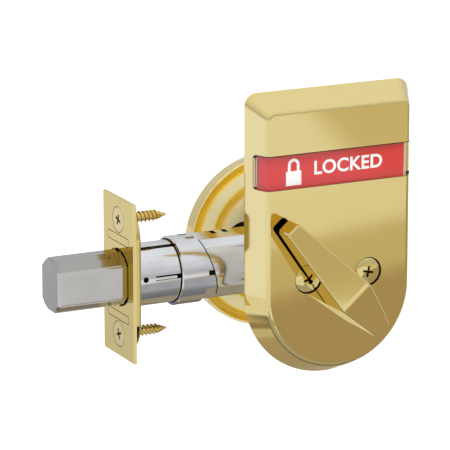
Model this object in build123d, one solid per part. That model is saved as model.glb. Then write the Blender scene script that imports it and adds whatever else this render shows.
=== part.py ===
from build123d import *
import math
import os

# Tubular deadbolt with an indicator thumbturn escutcheon, for a prepared door.
# Frame: millimetres, +Z up. The origin is where the bolt's centre line crosses the
# spindle's axis. The bolt shoots towards -X, the room side is -Y, the street side +Y.
# Every piece is drawn with the bolt thrown and the indicator showing its locked band.

# Door preparation
backset = 69.85
door_thickness = 44.45
edge_bore_radius = 12.7
throw = 25.4
turn_angle = 90.0

# Clearances
slide_gap = 0.3
pivot_gap = 0.05
fit_gap = 0.05
seam_gap = 0.4

# Faceplate and the cup behind it
plate_width = 25.4
plate_height = 57.15
plate_thick = 1.2
plate_screw_pitch = 41.28
cup_width = 23.4
cup_height = 52.8
cup_depth = 2.4
cup_wall = 1.1
cup_floor = 1.0
cup_post_wall = 1.6
cup_notch_z = -17.5
cup_notch_height = 4.5
cup_notch_inset = 1.2

# Bolt head, a facetted bar with a raised pad on each side
bolt_half = 7.6
bolt_pad = 0.4
bolt_pad_half_height = 5.8
bolt_half_height = 9.6
bolt_shoulder_y = 5.3
bolt_shoulder_z = 8.3
bolt_top_half = 2.4
bolt_shown = 26.0
bolt_inside = 18.0
bolt_chamfer = 0.9
roller_radius = 3.2
roller_inset = 5.0
roller_seat = 0.6
tail_pin_inset = 4.0

# Barrel, collar and rear case
barrel_radius = 11.1
barrel_wall = 0.95
barrel_end = 25.0
bore_play = 0.4
collar_radius = edge_bore_radius - bore_play
collar_front = 19.2
collar_waist = 28.7
collar_rear_top = 27.7
collar_rear_mid = 31.5
collar_rear_low = 34.2
case_wall = 1.4
case_top = 11.15
case_bottom = 9.4
case_facet = 11.97
case_facet_angle = 37.0
case_slot_half = 6.0
case_mark_places = (37.7, 42.4)
case_mark_width = 1.9
case_mark_length = 4.8
case_mark_y = 3.4
case_end_x = -19.0
neck_end = 37.0
seam_angle = 112.0
seam_width = 1.6
key_groove_start = 9.4
key_groove_width = 1.7
key_groove_depth = 0.55
key_groove_z = 0.9
locating_hole_x = 5.6
locating_hole_radius = 1.0
collar_notch_length = 4.6
collar_notch_width = 1.8
collar_marks = ((4.9, 4.4, 1.6, 3.0), (3.0, 0.6, 3.4, 1.2), (1.7, -3.2, 3.2, 1.3))
neck_slot_length = 1.8

# Fork crank, tail and hub plates
drive_rise = throw / (2 * math.tan(math.radians(turn_angle / 2)))
crank_hub_radius = 6.0
crank_journal_radius = 5.0
crank_half_thick = 1.6
fork_wall = 1.7
fork_over = 2.2
drive_pin_radius = 1.6
drive_pin_play = 1.2
tail_thick = 2.5
tail_low = 5.6
tail_high = 8.8
tail_lug_half = 2.7
tail_root = 8.2
tail_root_half = 4.0
tail_knee = 3.0
tail_knee_lead = 1.0
tail_slope = 8.0
tail_step = 6.0
hub_plate_y = 7.2
hub_plate_thick = 1.6
hub_plate_start = -25.4
hub_plate_end = 21.6
hub_plate_half = 8.8
hub_strap_half = 5.6
rivet_radius = 1.8
rivet_spacer_radius = 2.8
rivet_head_height = 0.9
case_rivet_x = 4.6
bolt_rivet_x = 2.0
end_rivet_z = 1.2
end_rivet_wall = 0.8

# Blade that joins the spindle, the crank and the cylinder
blade_width = 6.4
blade_thick = 2.2
blade_reach = 14.0

# Escutcheon, a D-shaped cap whose walls flare towards the door
esc_depth = 9.6
esc_front_half = 27.6
esc_back_half = 32.0
esc_front_top = 60.4
esc_back_top = 66.0
esc_arc_z = -5.2
esc_front_corner = 3.0
esc_back_corner = 4.5
esc_wall = 2.0
esc_front_wall = 2.2
esc_edge_round = 1.8
back_plate_thick = 1.5
relief_slot_z = 44.0
relief_slot_length = 26.0
relief_slot_width = 7.0

# Window, lens and indicator
window_low = 33.1
window_high = 45.1
window_depth = 6.0
window_round = 1.3
lens_thick = 1.8
lens_proud = 0.15
panel_thick = 1.0
carriage_thick = 1.2
indicator_travel = 12.566
arm_radius = 24.0
arm_thick = 1.6
arm_half = 3.4
arm_pin_radius = 1.5
arm_hub_radius = 7.2
slot_wall = 1.6

# Thumbturn lever, spindle and its clip
lever_slope = 49.0
lever_offset = -3.2
lever_tail = 30.8
lever_ridge = 3.8
lever_nose = 22.2
lever_tail_half = 2.9
lever_ridge_half = 6.9
lever_nose_half = 3.2
lever_tail_height = 9.6
lever_ridge_height = 14.2
lever_nose_height = 11.2
lever_bend = 16.5
lever_bend_height = 12.6
lever_gap = 0.45
lever_lift = 2.2
lever_hub_lift = 1.6
lever_hub_reach = 9.5
lever_round = 0.6
lever_tail_round = 1.4
lever_ridge_round = 14.0
spindle_radius = 5.0
spindle_stub_radius = 4.0
spindle_stub_depth = 7.0
washer_thick = 0.5
washer_width = 2.2
clip_thick = 0.8

# Through bolts
bolt_pitch = 23.4
through_radius = 2.4
through_head_radius = 4.85
through_head_depth = 2.4
through_head_dome = 0.6
through_ring = 0.35
through_ring_depth = 0.9
through_end = 29.0
through_sink = 0.45
boss_height = 0.8

# Street side: rose, centring disc and key cylinder
rose_radius = 31.75
rose_depth = 13.0
rose_side = 4.4
rose_face_radius = 20.5
rose_rim = (0.7, 1.6)
rose_shoulder = (2.4, 2.8)
rose_slope = (4.6, 3.5)
rose_brow = (2.0, 1.0)
channel_width = 3.9
cylinder_proud = 0.8
land_y = 0.6
groove_depth = 3.4
disc_lap = 1.4
disc_thick = 3.0
post_radius = 4.3
cylinder_wall = 1.2
disc_slot_half = 7.8
disc_rim = 1.0
housing_rear = 14.6
shaft_case_radius = 8.6
tower_half = 3.6
tower_top = 17.5
plug_radius = 6.35
plug_tail = 2.3
plug_lip = 7.4
plug_lip_depth = 1.6
keyway_width = 1.9
keyway_height = 8.4

# Small screws
wood_head_radius = 4.5
wood_head_depth = 2.3
wood_shank_radius = 2.1
wood_neck_radius = 1.9
wood_length = 18.6
wood_tip = 5.0
cap_screw_radius = 1.25
cap_screw_head = 2.3
cap_screw_head_height = 1.1
cap_screw_length = 3.6
cap_screw_x = 19.0
cap_screw_z = -13.0
cap_screw_rise = 8.5
cap_screw_wall = 1.9

# Places worked out from the sizes above
face_x = -backset
room_face = -door_thickness / 2
street_face = door_thickness / 2
esc_front = room_face - esc_depth
esc_inner = esc_front + esc_front_wall
back_plate_y = room_face - back_plate_thick
panel_y = esc_inner + slide_gap
carriage_y = panel_y + panel_thick
arm_y = carriage_y + carriage_thick + slide_gap
barrel_bore = barrel_radius - barrel_wall
cylinder_radius = bolt_pitch / 2 + post_radius + cylinder_wall
disc_radius = cylinder_radius + disc_lap
rose_face = street_face + rose_depth
disc_y = street_face + land_y
cylinder_face = rose_face + cylinder_proud
plug_rear = housing_rear - plug_tail
bolt_tip = face_x - bolt_shown
bolt_rear = face_x + bolt_inside
roller_length = bolt_shown + bolt_inside - roller_inset - roller_seat - tail_root
tail_y = crank_half_thick + slide_gap
half_turn = turn_angle / 2


def write(name, shape):
    """Write one named piece as its own STEP file."""
    shape.label = name
    export_step(shape, os.path.join("parts", name + ".step"))


def slab(sketch, y0, y1):
    """Raise an X-Z outline between two planes of constant Y."""
    plane = Plane(origin=(0, y1, 0), x_dir=(1, 0, 0), z_dir=(0, -1, 0))
    return extrude(plane * sketch, y1 - y0)


def bar(sketch, x0, x1):
    """Raise a Y-Z section between two planes of constant X."""
    plane = Plane(origin=(x0, 0, 0), x_dir=(0, 1, 0), z_dir=(1, 0, 0))
    return extrude(plane * sketch, x1 - x0)


def column(sketch, z0, z1):
    """Raise an X-Y section between two heights."""
    return extrude(Pos(0, 0, z0) * sketch, z1 - z0)


def spun(axis, *points):
    """Turn a closed outline round the X axis or the Y axis."""
    face = make_face(Polyline(*points, close=True))
    return revolve(face, axis)


def rod_y(x, z, radius, y0, y1):
    """Make a round rod along Y."""
    return slab(Pos(x, z) * Circle(radius), y0, y1)


def turned(point, degrees):
    """Turn an X-Z point clockwise about the spindle, as seen from the room."""
    a = math.radians(degrees)
    x, z = point
    return (x * math.cos(a) + z * math.sin(a), z * math.cos(a) - x * math.sin(a))


def half_at(depth):
    """Half width of the escutcheon at a depth behind its front face."""
    return esc_front_half + (esc_back_half - esc_front_half) * depth / esc_depth


def top_at(depth):
    """Height of the escutcheon's top at a depth behind its front face."""
    return esc_front_top + (esc_back_top - esc_front_top) * depth / esc_depth


def corner_at(depth):
    """Radius of the escutcheon's top corners at a depth behind its front face."""
    return esc_front_corner + (esc_back_corner - esc_front_corner) * depth / esc_depth


def d_outline(half, top, corner):
    """D shape: a straight top with rounded corners and a half-round bottom."""
    cut = corner * (1 - math.sin(math.radians(45)))
    edges = [
        Line((-half, esc_arc_z), (-half, top - corner)),
        ThreePointArc((-half, top - corner), (-half + cut, top - cut), (-half + corner, top)),
        Line((-half + corner, top), (half - corner, top)),
        ThreePointArc((half - corner, top), (half - cut, top - cut), (half, top - corner)),
        Line((half, top - corner), (half, esc_arc_z)),
        ThreePointArc((half, esc_arc_z), (0, esc_arc_z - half), (-half, esc_arc_z)),
    ]
    return make_face(edges)


def d_section(depth, inset):
    """The D outline at a depth, drawn in by an inset and set at its place."""
    corner = max(corner_at(depth) - inset, 0.6)
    face = d_outline(half_at(depth) - inset, top_at(depth) - inset, corner)
    plane = Plane(origin=(0, esc_front + depth, 0), x_dir=(1, 0, 0), z_dir=(0, -1, 0))
    return plane * face


def wrap(y_front, inset, thick, y_end, rounding, z0, z1):
    """Channel that follows the escutcheon's front and side walls."""
    d0 = y_front - esc_front
    d1 = y_end - esc_front
    outer = [
        (-half_at(d1) + inset, y_end),
        (-half_at(d0) + inset, y_front),
        (half_at(d0) - inset, y_front),
        (half_at(d1) - inset, y_end),
    ]
    inner = [
        (half_at(d1) - inset - thick, y_end),
        (half_at(d0 + thick) - inset - thick, y_front + thick),
        (-half_at(d0 + thick) + inset + thick, y_front + thick),
        (-half_at(d1) + inset + thick, y_end),
    ]
    face = make_face(Polyline(*outer, *inner, close=True))
    front = face.vertices().filter_by(lambda v: abs(v.Y - y_front) < 0.001)
    face = fillet(front, rounding)
    back = face.vertices().filter_by(lambda v: abs(v.Y - y_front - thick) < 0.001)
    face = fillet(back, max(rounding - thick * 0.6, 0.4))
    return column(face, z0, z1)


def bolt_section(margin):
    """The bolt's facetted section, grown by a margin."""
    side = bolt_half + margin
    flat = bolt_pad_half_height + bolt_pad
    right = [
        (side, -flat),
        (side, flat),
        (bolt_shoulder_y + margin, bolt_shoulder_z + margin / 2),
        (bolt_top_half, bolt_half_height + margin),
    ]
    left = [(-y, z) for y, z in reversed(right[1:])]
    low = [(-y, -z) for y, z in right[1:]]
    foot = [(y, -z) for y, z in reversed(right[2:])]
    return make_face(Polyline(*right, *left, *low, *foot, close=True))


def make_bolt():
    """Bolt head with its raised side pads, the roller bore and the tail's slot."""
    head = bar(bolt_section(0), bolt_tip, bolt_rear)
    head = chamfer(head.faces().sort_by(Axis.X)[0].edges(), bolt_chamfer)
    pad_length = bolt_rear - bolt_tip - bolt_chamfer
    pad_x = bolt_tip + bolt_chamfer + pad_length / 2
    for side in (-1, 1):
        pad = Box(pad_length, bolt_pad * 2, bolt_pad_half_height * 2)
        pad = Pos(pad_x, side * bolt_half, 0) * pad
        rim = pad.faces().sort_by(Axis.Y)[0 if side < 0 else -1].edges()
        head += chamfer(rim, bolt_pad * 0.9)
    roller = spun(Axis.X, (0, 0), (roller_length, 0), (roller_length, roller_radius), (0, roller_radius))
    roller = Pos(bolt_tip + roller_inset, 0, 0) * roller
    head -= roller
    slot = Box(bolt_inside * 2, tail_thick, tail_root_half * 2)
    slot = Pos(bolt_rear - tail_root + bolt_inside, tail_y + tail_thick / 2, 0) * slot
    head -= slot
    pin = rod_y(bolt_rear - tail_pin_inset, 0, rivet_radius, -bolt_half, bolt_half)
    head -= pin
    return head, roller, pin


def make_tail():
    """Stepped bar over the crank, with a lug and the pin that the fork drives."""
    lug_x = -throw / 2
    end_x = lug_x + tail_lug_half
    start = bolt_rear - tail_root
    knee = bolt_rear + tail_knee
    outline = Polyline(
        (start, -tail_root_half),
        (knee, -tail_root_half),
        (knee + tail_slope, tail_low),
        (end_x, tail_low),
        (end_x, drive_rise),
        (end_x - 2 * tail_lug_half, drive_rise),
        (end_x - 2 * tail_lug_half, tail_high),
        (knee + tail_step, tail_high),
        (knee - tail_knee_lead, tail_root_half),
        (start, tail_root_half),
        close=True,
    )
    plate = make_face(outline) + Pos(lug_x, drive_rise) * Circle(tail_lug_half)
    plate -= Pos(bolt_rear - tail_pin_inset, 0) * Circle(rivet_radius)
    tail = slab(plate, tail_y, tail_y + tail_thick)
    return tail + rod_y(lug_x, drive_rise, drive_pin_radius, -crank_half_thick - 0.4, tail_y)


def make_crank():
    """Crank with two journals and an open fork that drives the tail's pin."""
    hub = rod_y(0, 0, crank_hub_radius, -crank_half_thick, crank_half_thick)
    reach = hub_plate_y + hub_plate_thick
    hub += rod_y(0, 0, crank_journal_radius, -reach, reach)
    slot_half = drive_pin_radius + drive_pin_play
    half = slot_half + fork_wall
    tip = math.hypot(throw / 2, drive_rise) + fork_over
    root = drive_rise - drive_pin_radius - 0.8
    arm = Pos(0, tip / 2) * Rectangle(2 * half, tip)
    arm = fillet(arm.vertices().sort_by(Axis.Y)[-2:], fork_wall * 0.9)
    arm -= Pos(0, root + tip / 2) * Rectangle(2 * slot_half, tip)
    arm = Rot(0, 0, half_turn) * arm
    crank = hub + slab(arm, -crank_half_thick, crank_half_thick)
    return crank - slab(Rectangle(blade_thick, blade_width), -reach - 1, reach + 1)


def hub_outline():
    """Side plate: a strap in the case that widens to a tongue round the crank."""
    shoulder = case_end_x + 1.0
    tongue = Polyline(
        (hub_plate_start, -hub_strap_half),
        (shoulder, -hub_strap_half),
        (shoulder, -hub_plate_half),
        (hub_plate_end, -hub_plate_half),
        (hub_plate_end, hub_plate_half),
        (shoulder, hub_plate_half),
        (shoulder, hub_strap_half),
        (hub_plate_start, hub_strap_half),
        close=True,
    )
    plate = make_face(tongue)
    soft = plate.vertices().filter_by(lambda v: v.X > shoulder + 1)
    plate = fillet(soft, hub_plate_half * 0.6)
    plate -= Circle(crank_journal_radius + pivot_gap)
    for side in (-1, 1):
        plate -= Pos(side * bolt_pitch / 2, 0) * Circle(through_radius + 0.4)
    for x, z in rivet_places():
        plate -= Pos(x, z) * Circle(rivet_radius)
    return plate


def rivet_places():
    """Where the spacer rivets hold the two side plates apart."""
    low = rivet_spacer_radius - hub_plate_half
    right = hub_plate_end - rivet_spacer_radius - end_rivet_wall
    return [
        (case_end_x + case_rivet_x, low),
        (bolt_pitch / 2 + bolt_rivet_x, low),
        (right, end_rivet_z),
    ]


def make_rivets():
    """Spacer rivets with a domed head on each side."""
    outer = hub_plate_y + hub_plate_thick
    rivets = []
    for x, z in rivet_places():
        rivet = rod_y(x, z, rivet_radius, -outer, outer)
        rivet += rod_y(x, z, rivet_spacer_radius, -hub_plate_y, hub_plate_y)
        for side in (-1, 1):
            y0, y1 = sorted((side * outer, side * (outer + rivet_head_height)))
            button = rod_y(x, z, rivet_spacer_radius, y0, y1)
            rim = button.faces().sort_by(Axis.Y)[0 if side < 0 else -1].edges()
            rivet += fillet(rim, rivet_head_height * 0.7)
        rivets.append(rivet)
    return Compound(children=rivets)


def case_section(inset):
    """Round case section with a flat top, two low facets and a flat bottom."""
    size = 2 * collar_radius
    beyond = size / 2 - inset
    section = Circle(collar_radius - inset)
    section -= Pos(0, case_top + beyond) * Rectangle(2 * size, size)
    section -= Pos(0, -case_bottom - beyond) * Rectangle(2 * size, size)
    for turn in (-case_facet_angle, 180 + case_facet_angle):
        section -= Rot(0, 0, turn) * Pos(case_facet + beyond, 0) * Rectangle(size, 2 * size)
    return section


def ahead_of_rear_edge(offset):
    """Block ahead of the collar's curved rear edge, moved back by an offset."""
    reach = collar_radius + 1.0
    shift = face_x + offset
    low = (shift + collar_rear_low, -reach)
    mid = (shift + collar_rear_mid, 0)
    high = (shift + collar_rear_top, reach)
    edges = [
        ThreePointArc(low, mid, high),
        Line(high, (face_x, reach)),
        Line((face_x, reach), (face_x, -reach)),
        Line((face_x, -reach), low),
    ]
    return slab(make_face(edges), -reach, reach)


def underside_slot():
    """Opening along the underside of the collar's waist and the case."""
    length = case_end_x - face_x - collar_waist
    slot = Box(length + 2, 2 * case_slot_half, collar_radius)
    return Pos(face_x + collar_waist + length / 2 + 1, 0, -case_bottom / 2 - collar_radius / 2) * slot


def make_barrel():
    """Front barrel with its top seam, a locating hole and a pressed groove."""
    start = face_x + plate_thick
    end = face_x + barrel_end
    barrel = bar(Circle(barrel_radius) - Circle(barrel_bore), start, end)
    seam_length = barrel_end - cup_depth - plate_thick - 1.0
    seam = Box(seam_length, barrel_radius, seam_width)
    seam = Pos(end - 1.0 - seam_length / 2, 0, 0) * Rot(seam_angle, 0, 0) * (Pos(0, barrel_radius, 0) * seam)
    barrel -= seam
    hole = Rot(90, 0, 0) * Cylinder(locating_hole_radius, 4 * barrel_wall)
    barrel -= Pos(face_x + locating_hole_x, -barrel_radius, key_groove_z) * hole
    groove_length = collar_front - key_groove_start + 3.0
    groove = Box(groove_length, 2 * key_groove_depth, key_groove_width)
    groove_x = face_x + key_groove_start + groove_length / 2
    barrel -= Pos(groove_x, -barrel_radius, key_groove_z) * groove
    window = Box(neck_slot_length, 4 * barrel_wall, key_groove_width)
    barrel -= Pos(face_x + collar_front - 0.6, -barrel_radius, key_groove_z) * window
    return barrel


def make_collar():
    """Backset collar: a band with a curved rear edge and a narrower waist below."""
    long_end = face_x + collar_rear_low + 2
    waist = face_x + collar_waist
    collar = bar(Circle(collar_radius), face_x + collar_front, waist)
    collar = chamfer(collar.faces().sort_by(Axis.X)[0].edges(), 0.35)
    collar += bar(case_section(0), waist, long_end)
    collar -= bar(Circle(barrel_radius + fit_gap), face_x + collar_front - 1, long_end + 1)
    collar &= ahead_of_rear_edge(0)
    collar -= underside_slot()
    notch = Box(collar_notch_length, collar_radius / 4, collar_notch_width)
    collar -= Pos(face_x + collar_rear_mid, -collar_radius, key_groove_z) * notch
    back = face_x + collar_rear_top
    for ahead, y, length, width in collar_marks:
        collar -= Pos(back - ahead, y, collar_radius) * Box(length, width, 4 * bore_play)
    return collar


def make_case():
    """Rear case: a neck inside the collar and a facetted tube behind it."""
    neck = bar(Circle(barrel_radius), face_x + barrel_end + seam_gap, face_x + neck_end)
    body = bar(case_section(0), face_x + collar_rear_top - 1, case_end_x)
    body -= ahead_of_rear_edge(seam_gap)
    body -= bar(case_section(case_wall), face_x + collar_rear_top - 2, case_end_x + 1)
    case = body + (neck - bar(Circle(barrel_bore), face_x, face_x + neck_end + 1))
    case -= underside_slot()
    for place in case_mark_places:
        mark = Box(case_mark_width, case_mark_length, 3 * case_wall)
        case -= Pos(face_x + place, case_mark_y, case_top) * mark
    return case


def stadium(width, height):
    """Flat outline with straight sides and half-round ends."""
    return SlotOverall(height, width, rotation=90)


def make_faceplate():
    """Square-cornered faceplate with the bolt's opening and two countersinks."""
    plate = bar(Rectangle(plate_width, plate_height), face_x, face_x + plate_thick)
    opening = Circle(barrel_bore + 0.25) & Rectangle(2 * (bolt_half + bolt_pad + 0.45), plate_height)
    plate -= bar(opening, face_x - 1, face_x + plate_thick + 1)
    for cutter in wood_screws(fit_gap):
        plate -= cutter
    rim = plate.edges().filter_by(Axis.Y).filter_by(lambda e: abs(e.center().X - face_x) < 0.001)
    rim += plate.edges().filter_by(Axis.Z).filter_by(lambda e: abs(e.center().X - face_x) < 0.001)
    outer = [e for e in rim if e.length > plate_width - 1]
    return chamfer(outer, 0.2)


def make_cup():
    """Pressed cup behind the faceplate, which carries the barrel."""
    y0 = face_x + plate_thick
    y1 = y0 + cup_depth
    cup = bar(stadium(cup_width, cup_height), y0, y1)
    cup = fillet(cup.faces().sort_by(Axis.X)[-1].edges(), 0.8)
    inner = stadium(cup_width - 2 * cup_wall, cup_height - 2 * cup_wall)
    cup -= bar(inner, y0 - 1, y1 - cup_floor)
    cup -= bar(Circle(barrel_radius + fit_gap), y0 - 1, y1 + 1)
    notch = Box(cup_depth - cup_floor, cup_wall * 3, cup_notch_height)
    cup -= Pos(y0 + (cup_depth - cup_floor) / 2, -cup_width / 2 + cup_notch_inset, cup_notch_z) * notch
    for side in (-1, 1):
        hole = Circle(wood_shank_radius + 0.2)
        cup -= bar(Pos(0, side * plate_screw_pitch / 2) * hole, y0 - 1, y1 + 1)
        post = Circle(wood_shank_radius + cup_post_wall) - hole
        cup += bar(Pos(0, side * plate_screw_pitch / 2) * post, y0 + 1.3, y1 - cup_floor)
    return cup


def wood_screws(margin):
    """Countersunk wood screws, or their cutters when a margin is given."""
    screws = []
    head = wood_head_radius + margin
    shank = wood_shank_radius + margin
    neck = wood_neck_radius + margin
    thread_x = plate_thick + cup_depth + 0.85
    points = [
        (0, 0),
        (0, head),
        (0.25, head),
        (wood_head_depth, neck),
        (thread_x, neck),
        (thread_x, shank),
        (wood_length - wood_tip, shank),
        (wood_length, 0),
    ]
    shape = spun(Axis.X, *points)
    for side in (-1, 1):
        screws.append(Pos(face_x, 0, side * plate_screw_pitch / 2) * shape)
    return screws


def through_bolt(margin):
    """Long countersunk bolt along Y, or its cutter when a margin is given."""
    top = esc_front + through_sink
    head = through_head_radius + margin
    points = [
        (0, top - through_head_dome),
        (head * 0.35, top - through_head_dome * 0.95),
        (head * 0.7, top - through_head_dome * 0.68),
        (head * 0.92, top - through_head_dome * 0.25),
        (head, top),
        (head, top + 0.5),
        (through_radius + margin, top + through_head_depth),
        (through_radius + margin, through_end - 1.0),
        (through_radius + margin - 0.8, through_end),
        (0, through_end),
    ]
    return spun(Axis.Y, *points)


def make_escutcheon():
    """Flared D-shaped cap with its window, spindle bore and screw seats."""
    cap = loft([d_section(0, 0), d_section(esc_depth, 0)], ruled=True)
    front = cap.faces().sort_by(Axis.Y)[0]
    cap = fillet(front.edges(), esc_edge_round)
    hollow = loft([d_section(esc_front_wall, esc_wall), d_section(esc_depth, esc_wall)], ruled=True)
    hollow += slab(d_outline(esc_back_half - esc_wall, esc_back_top - esc_wall,
                             esc_back_corner - esc_wall), room_face - 0.001, room_face + 1)
    cap -= hollow
    cap -= window_block(0)
    for x in (-bolt_pitch / 2, bolt_pitch / 2):
        cap += rod_y(x, 0, through_head_radius + 1.1, esc_inner - 0.2, esc_inner + boss_height)
    cap -= rod_y(0, 0, arm_hub_radius + slide_gap, esc_inner, esc_inner + boss_height + 1)
    cap -= rod_y(0, 0, spindle_radius + pivot_gap, esc_front - 1, esc_inner + 2)
    for x in (-bolt_pitch / 2, bolt_pitch / 2):
        cap -= Pos(x, 0, 0) * through_bolt(fit_gap)
        cap -= rod_y(x, 0, through_head_radius + through_ring, esc_front - 1, esc_front + through_ring_depth)
    for x, z in cap_screw_places():
        boss = rod_y(x, z, cap_screw_radius + cap_screw_wall, esc_inner - 0.2, back_plate_y)
        cap += boss
        cap -= rod_y(x, z, cap_screw_radius, back_plate_y - cap_screw_length - 0.4, back_plate_y + 1)
    return cap


def cap_screw_places():
    """Where small screws hold the back plate to the escutcheon."""
    low = esc_arc_z - esc_front_half + cap_screw_rise
    return [(-cap_screw_x, cap_screw_z), (cap_screw_x, cap_screw_z), (0.0, low)]


def make_back_plate():
    """Steel plate that closes the escutcheon against the door."""
    inset = esc_wall + slide_gap
    half = half_at(esc_depth - back_plate_thick) - inset
    top = top_at(esc_depth - back_plate_thick) - inset
    plate = d_outline(half, top, esc_back_corner - 1.5)
    plate -= Circle(spindle_radius + 1.0)
    for side in (-1, 1):
        plate -= Pos(side * bolt_pitch / 2, 0) * Circle(through_radius + 0.3)
    for x, z in cap_screw_places():
        plate -= Pos(x, z) * Circle(cap_screw_radius)
    plate -= Pos(0, relief_slot_z) * SlotOverall(relief_slot_length, relief_slot_width)
    return slab(plate, back_plate_y, room_face)


def make_cap_screws():
    """Small round-headed screws of the back plate."""
    screws = []
    for x, z in cap_screw_places():
        screw = rod_y(x, z, cap_screw_radius, back_plate_y - cap_screw_length, room_face)
        head = rod_y(x, z, cap_screw_head, room_face, room_face + cap_screw_head_height)
        head = fillet(head.faces().sort_by(Axis.Y)[-1].edges(), cap_screw_head_height * 0.6)
        screws.append(screw + head)
    return Compound(children=screws)


def window_block(margin):
    """Block with rounded rear corners that fills the window, less a margin."""
    depth = 2 * window_depth
    block = Box(4 * esc_back_half, depth - 2 * margin, window_high - window_low - 2 * margin)
    block = fillet(block.edges().filter_by(Axis.X), window_round)
    return Pos(0, esc_front, (window_low + window_high) / 2) * block


def make_lens():
    """Clear lens, a little proud of the escutcheon, that wraps its front and sides."""
    end = esc_front + window_depth
    rounding = esc_edge_round + lens_proud
    lens = wrap(esc_front - lens_proud, -lens_proud, lens_thick, end, rounding, window_low, window_high)
    return lens & window_block(fit_gap)


def make_panel(z0):
    """One colour band of the indicator, wrapped like the lens."""
    end = esc_front + window_depth
    return wrap(panel_y, esc_wall + slide_gap, panel_thick, end, 1.0, z0, z0 + indicator_travel)


def slot_point(fraction):
    """Arm pin seen from the carriage, at a fraction of the thumbturn's range."""
    angle = turn_angle * fraction - half_turn
    x, z = turned((0, arm_radius), angle)
    return (x, z - indicator_travel * fraction)


def slot_outline(half):
    """Curved slot outline round the pin's path in the carriage."""
    steps = 8
    path = [slot_point(i / steps) for i in range(steps + 1)]
    left = []
    right = []
    for i, (x, z) in enumerate(path):
        x0, z0 = path[max(i - 1, 0)]
        x1, z1 = path[min(i + 1, steps)]
        length = math.hypot(x1 - x0, z1 - z0)
        nx = -(z1 - z0) / length * half
        nz = (x1 - x0) / length * half
        left.append((x + nx, z + nz))
        right.append((x - nx, z - nz))
    edges = [
        Spline(*left),
        Line(left[-1], right[-1]),
        Spline(*reversed(right)),
        Line(right[0], left[0]),
    ]
    shape = make_face(edges)
    shape += Pos(*path[0]) * Circle(half)
    shape += Pos(*path[-1]) * Circle(half)
    return shape


def make_carriage(z_low, z_high):
    """Carriage behind the colour bands, with the curved slot of the arm's pin."""
    end = esc_front + window_depth
    inset = esc_wall + slide_gap + panel_thick
    body = wrap(carriage_y, inset, carriage_thick, end, 0.8, z_low, z_high)
    slot_half = arm_pin_radius + slide_gap
    apron = slot_outline(slot_half + slot_wall)
    start = slot_point(0)
    bridge = Polyline(
        (start[0] - slot_half, start[1]),
        (start[0] - slot_half, z_low + 1),
        (-start[0] + slot_half, z_low + 1),
        (-start[0] + slot_half, slot_point(1)[1]),
        (0, slot_point(0.5)[1]),
        close=True,
    )
    apron += make_face(bridge)
    body += slab(apron, carriage_y, carriage_y + carriage_thick)
    return body - slab(slot_outline(slot_half), carriage_y - 1, carriage_y + carriage_thick + 1)


def make_arm():
    """Indicator arm on the spindle, with the pin that rides in the curved slot."""
    pin = turned((0, arm_radius), -half_turn)
    shape = Polyline(
        (-arm_half * 1.5, 0),
        (-arm_half, arm_radius),
        (arm_half, arm_radius),
        (arm_half * 1.5, 0),
        close=True,
    )
    arm = make_face(shape) + Pos(0, arm_radius) * Circle(arm_half)
    arm = Rot(0, 0, half_turn) * arm + Circle(arm_hub_radius)
    solid = slab(arm, arm_y, arm_y + arm_thick)
    solid += rod_y(0, 0, arm_hub_radius, esc_inner + washer_thick + slide_gap, arm_y)
    solid += rod_y(*pin, arm_pin_radius, carriage_y + 0.1, arm_y + 0.2)
    return solid - rod_y(0, 0, spindle_radius, esc_front, room_face)


def lever_plane(flat):
    """Plane along the lever: flat on the escutcheon, or upright along its length."""
    a = math.radians(lever_slope)
    along = (math.cos(a), 0, -math.sin(a))
    across = (-math.sin(a), 0, -math.cos(a))
    normal = (0, -1, 0) if flat else across
    return Plane(origin=(0, esc_front, 0), x_dir=along, z_dir=normal)


def make_lever():
    """Thumbturn lever: a kite-shaped wing with a ridge over the spindle."""
    mid = lever_offset
    plan = make_face(Polyline(
        (-lever_tail, mid - lever_tail_half),
        (lever_ridge, mid - lever_ridge_half),
        (lever_nose, mid - lever_nose_half),
        (lever_nose, mid + lever_nose_half),
        (lever_ridge, mid + lever_ridge_half),
        (-lever_tail, mid + lever_tail_half),
        close=True,
    ))
    tail = plan.vertices().sort_by(Axis.X)[:2]
    plan = fillet(tail, lever_tail_round)
    rest = plan.vertices().filter_by(lambda v: v.X > 0)
    plan = fillet(rest, lever_round)
    side = make_face(Polyline(
        (-lever_tail - 1, lever_lift),
        (-lever_hub_reach, lever_hub_lift),
        (-spindle_radius - 0.5, lever_gap),
        (lever_nose + 1, lever_gap),
        (lever_nose + 1, lever_nose_height - 0.2),
        (lever_bend, lever_bend_height),
        (lever_ridge, lever_ridge_height),
        (-lever_tail - 1, lever_tail_height - 0.13),
        close=True,
    ))
    peaks = side.vertices().sort_by(lambda v: v.Y)
    side = fillet(peaks[-1], lever_ridge_round)
    block = extrude(lever_plane(True) * plan, lever_ridge_height + 2)
    web = extrude(lever_plane(False) * side, 30, both=True)
    lever = block & web
    limit = esc_front - lever_tail_height * 0.9
    top = lever.faces().filter_by(lambda f: f.normal_at().Y < -0.9)
    rim = [e for e in top.edges() if e.center().Y < limit + 0.5 and not is_inner(e, top)]
    lever = fillet(rim, lever_round)
    socket_y = esc_front - lever_gap - spindle_stub_depth
    return lever - rod_y(0, 0, spindle_stub_radius, socket_y, esc_front)


def is_inner(edge, faces):
    """True for an edge that two of the given faces share."""
    point = edge.center()
    return sum(1 for f in faces if f.distance_to(point) < 0.001) > 1


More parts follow.
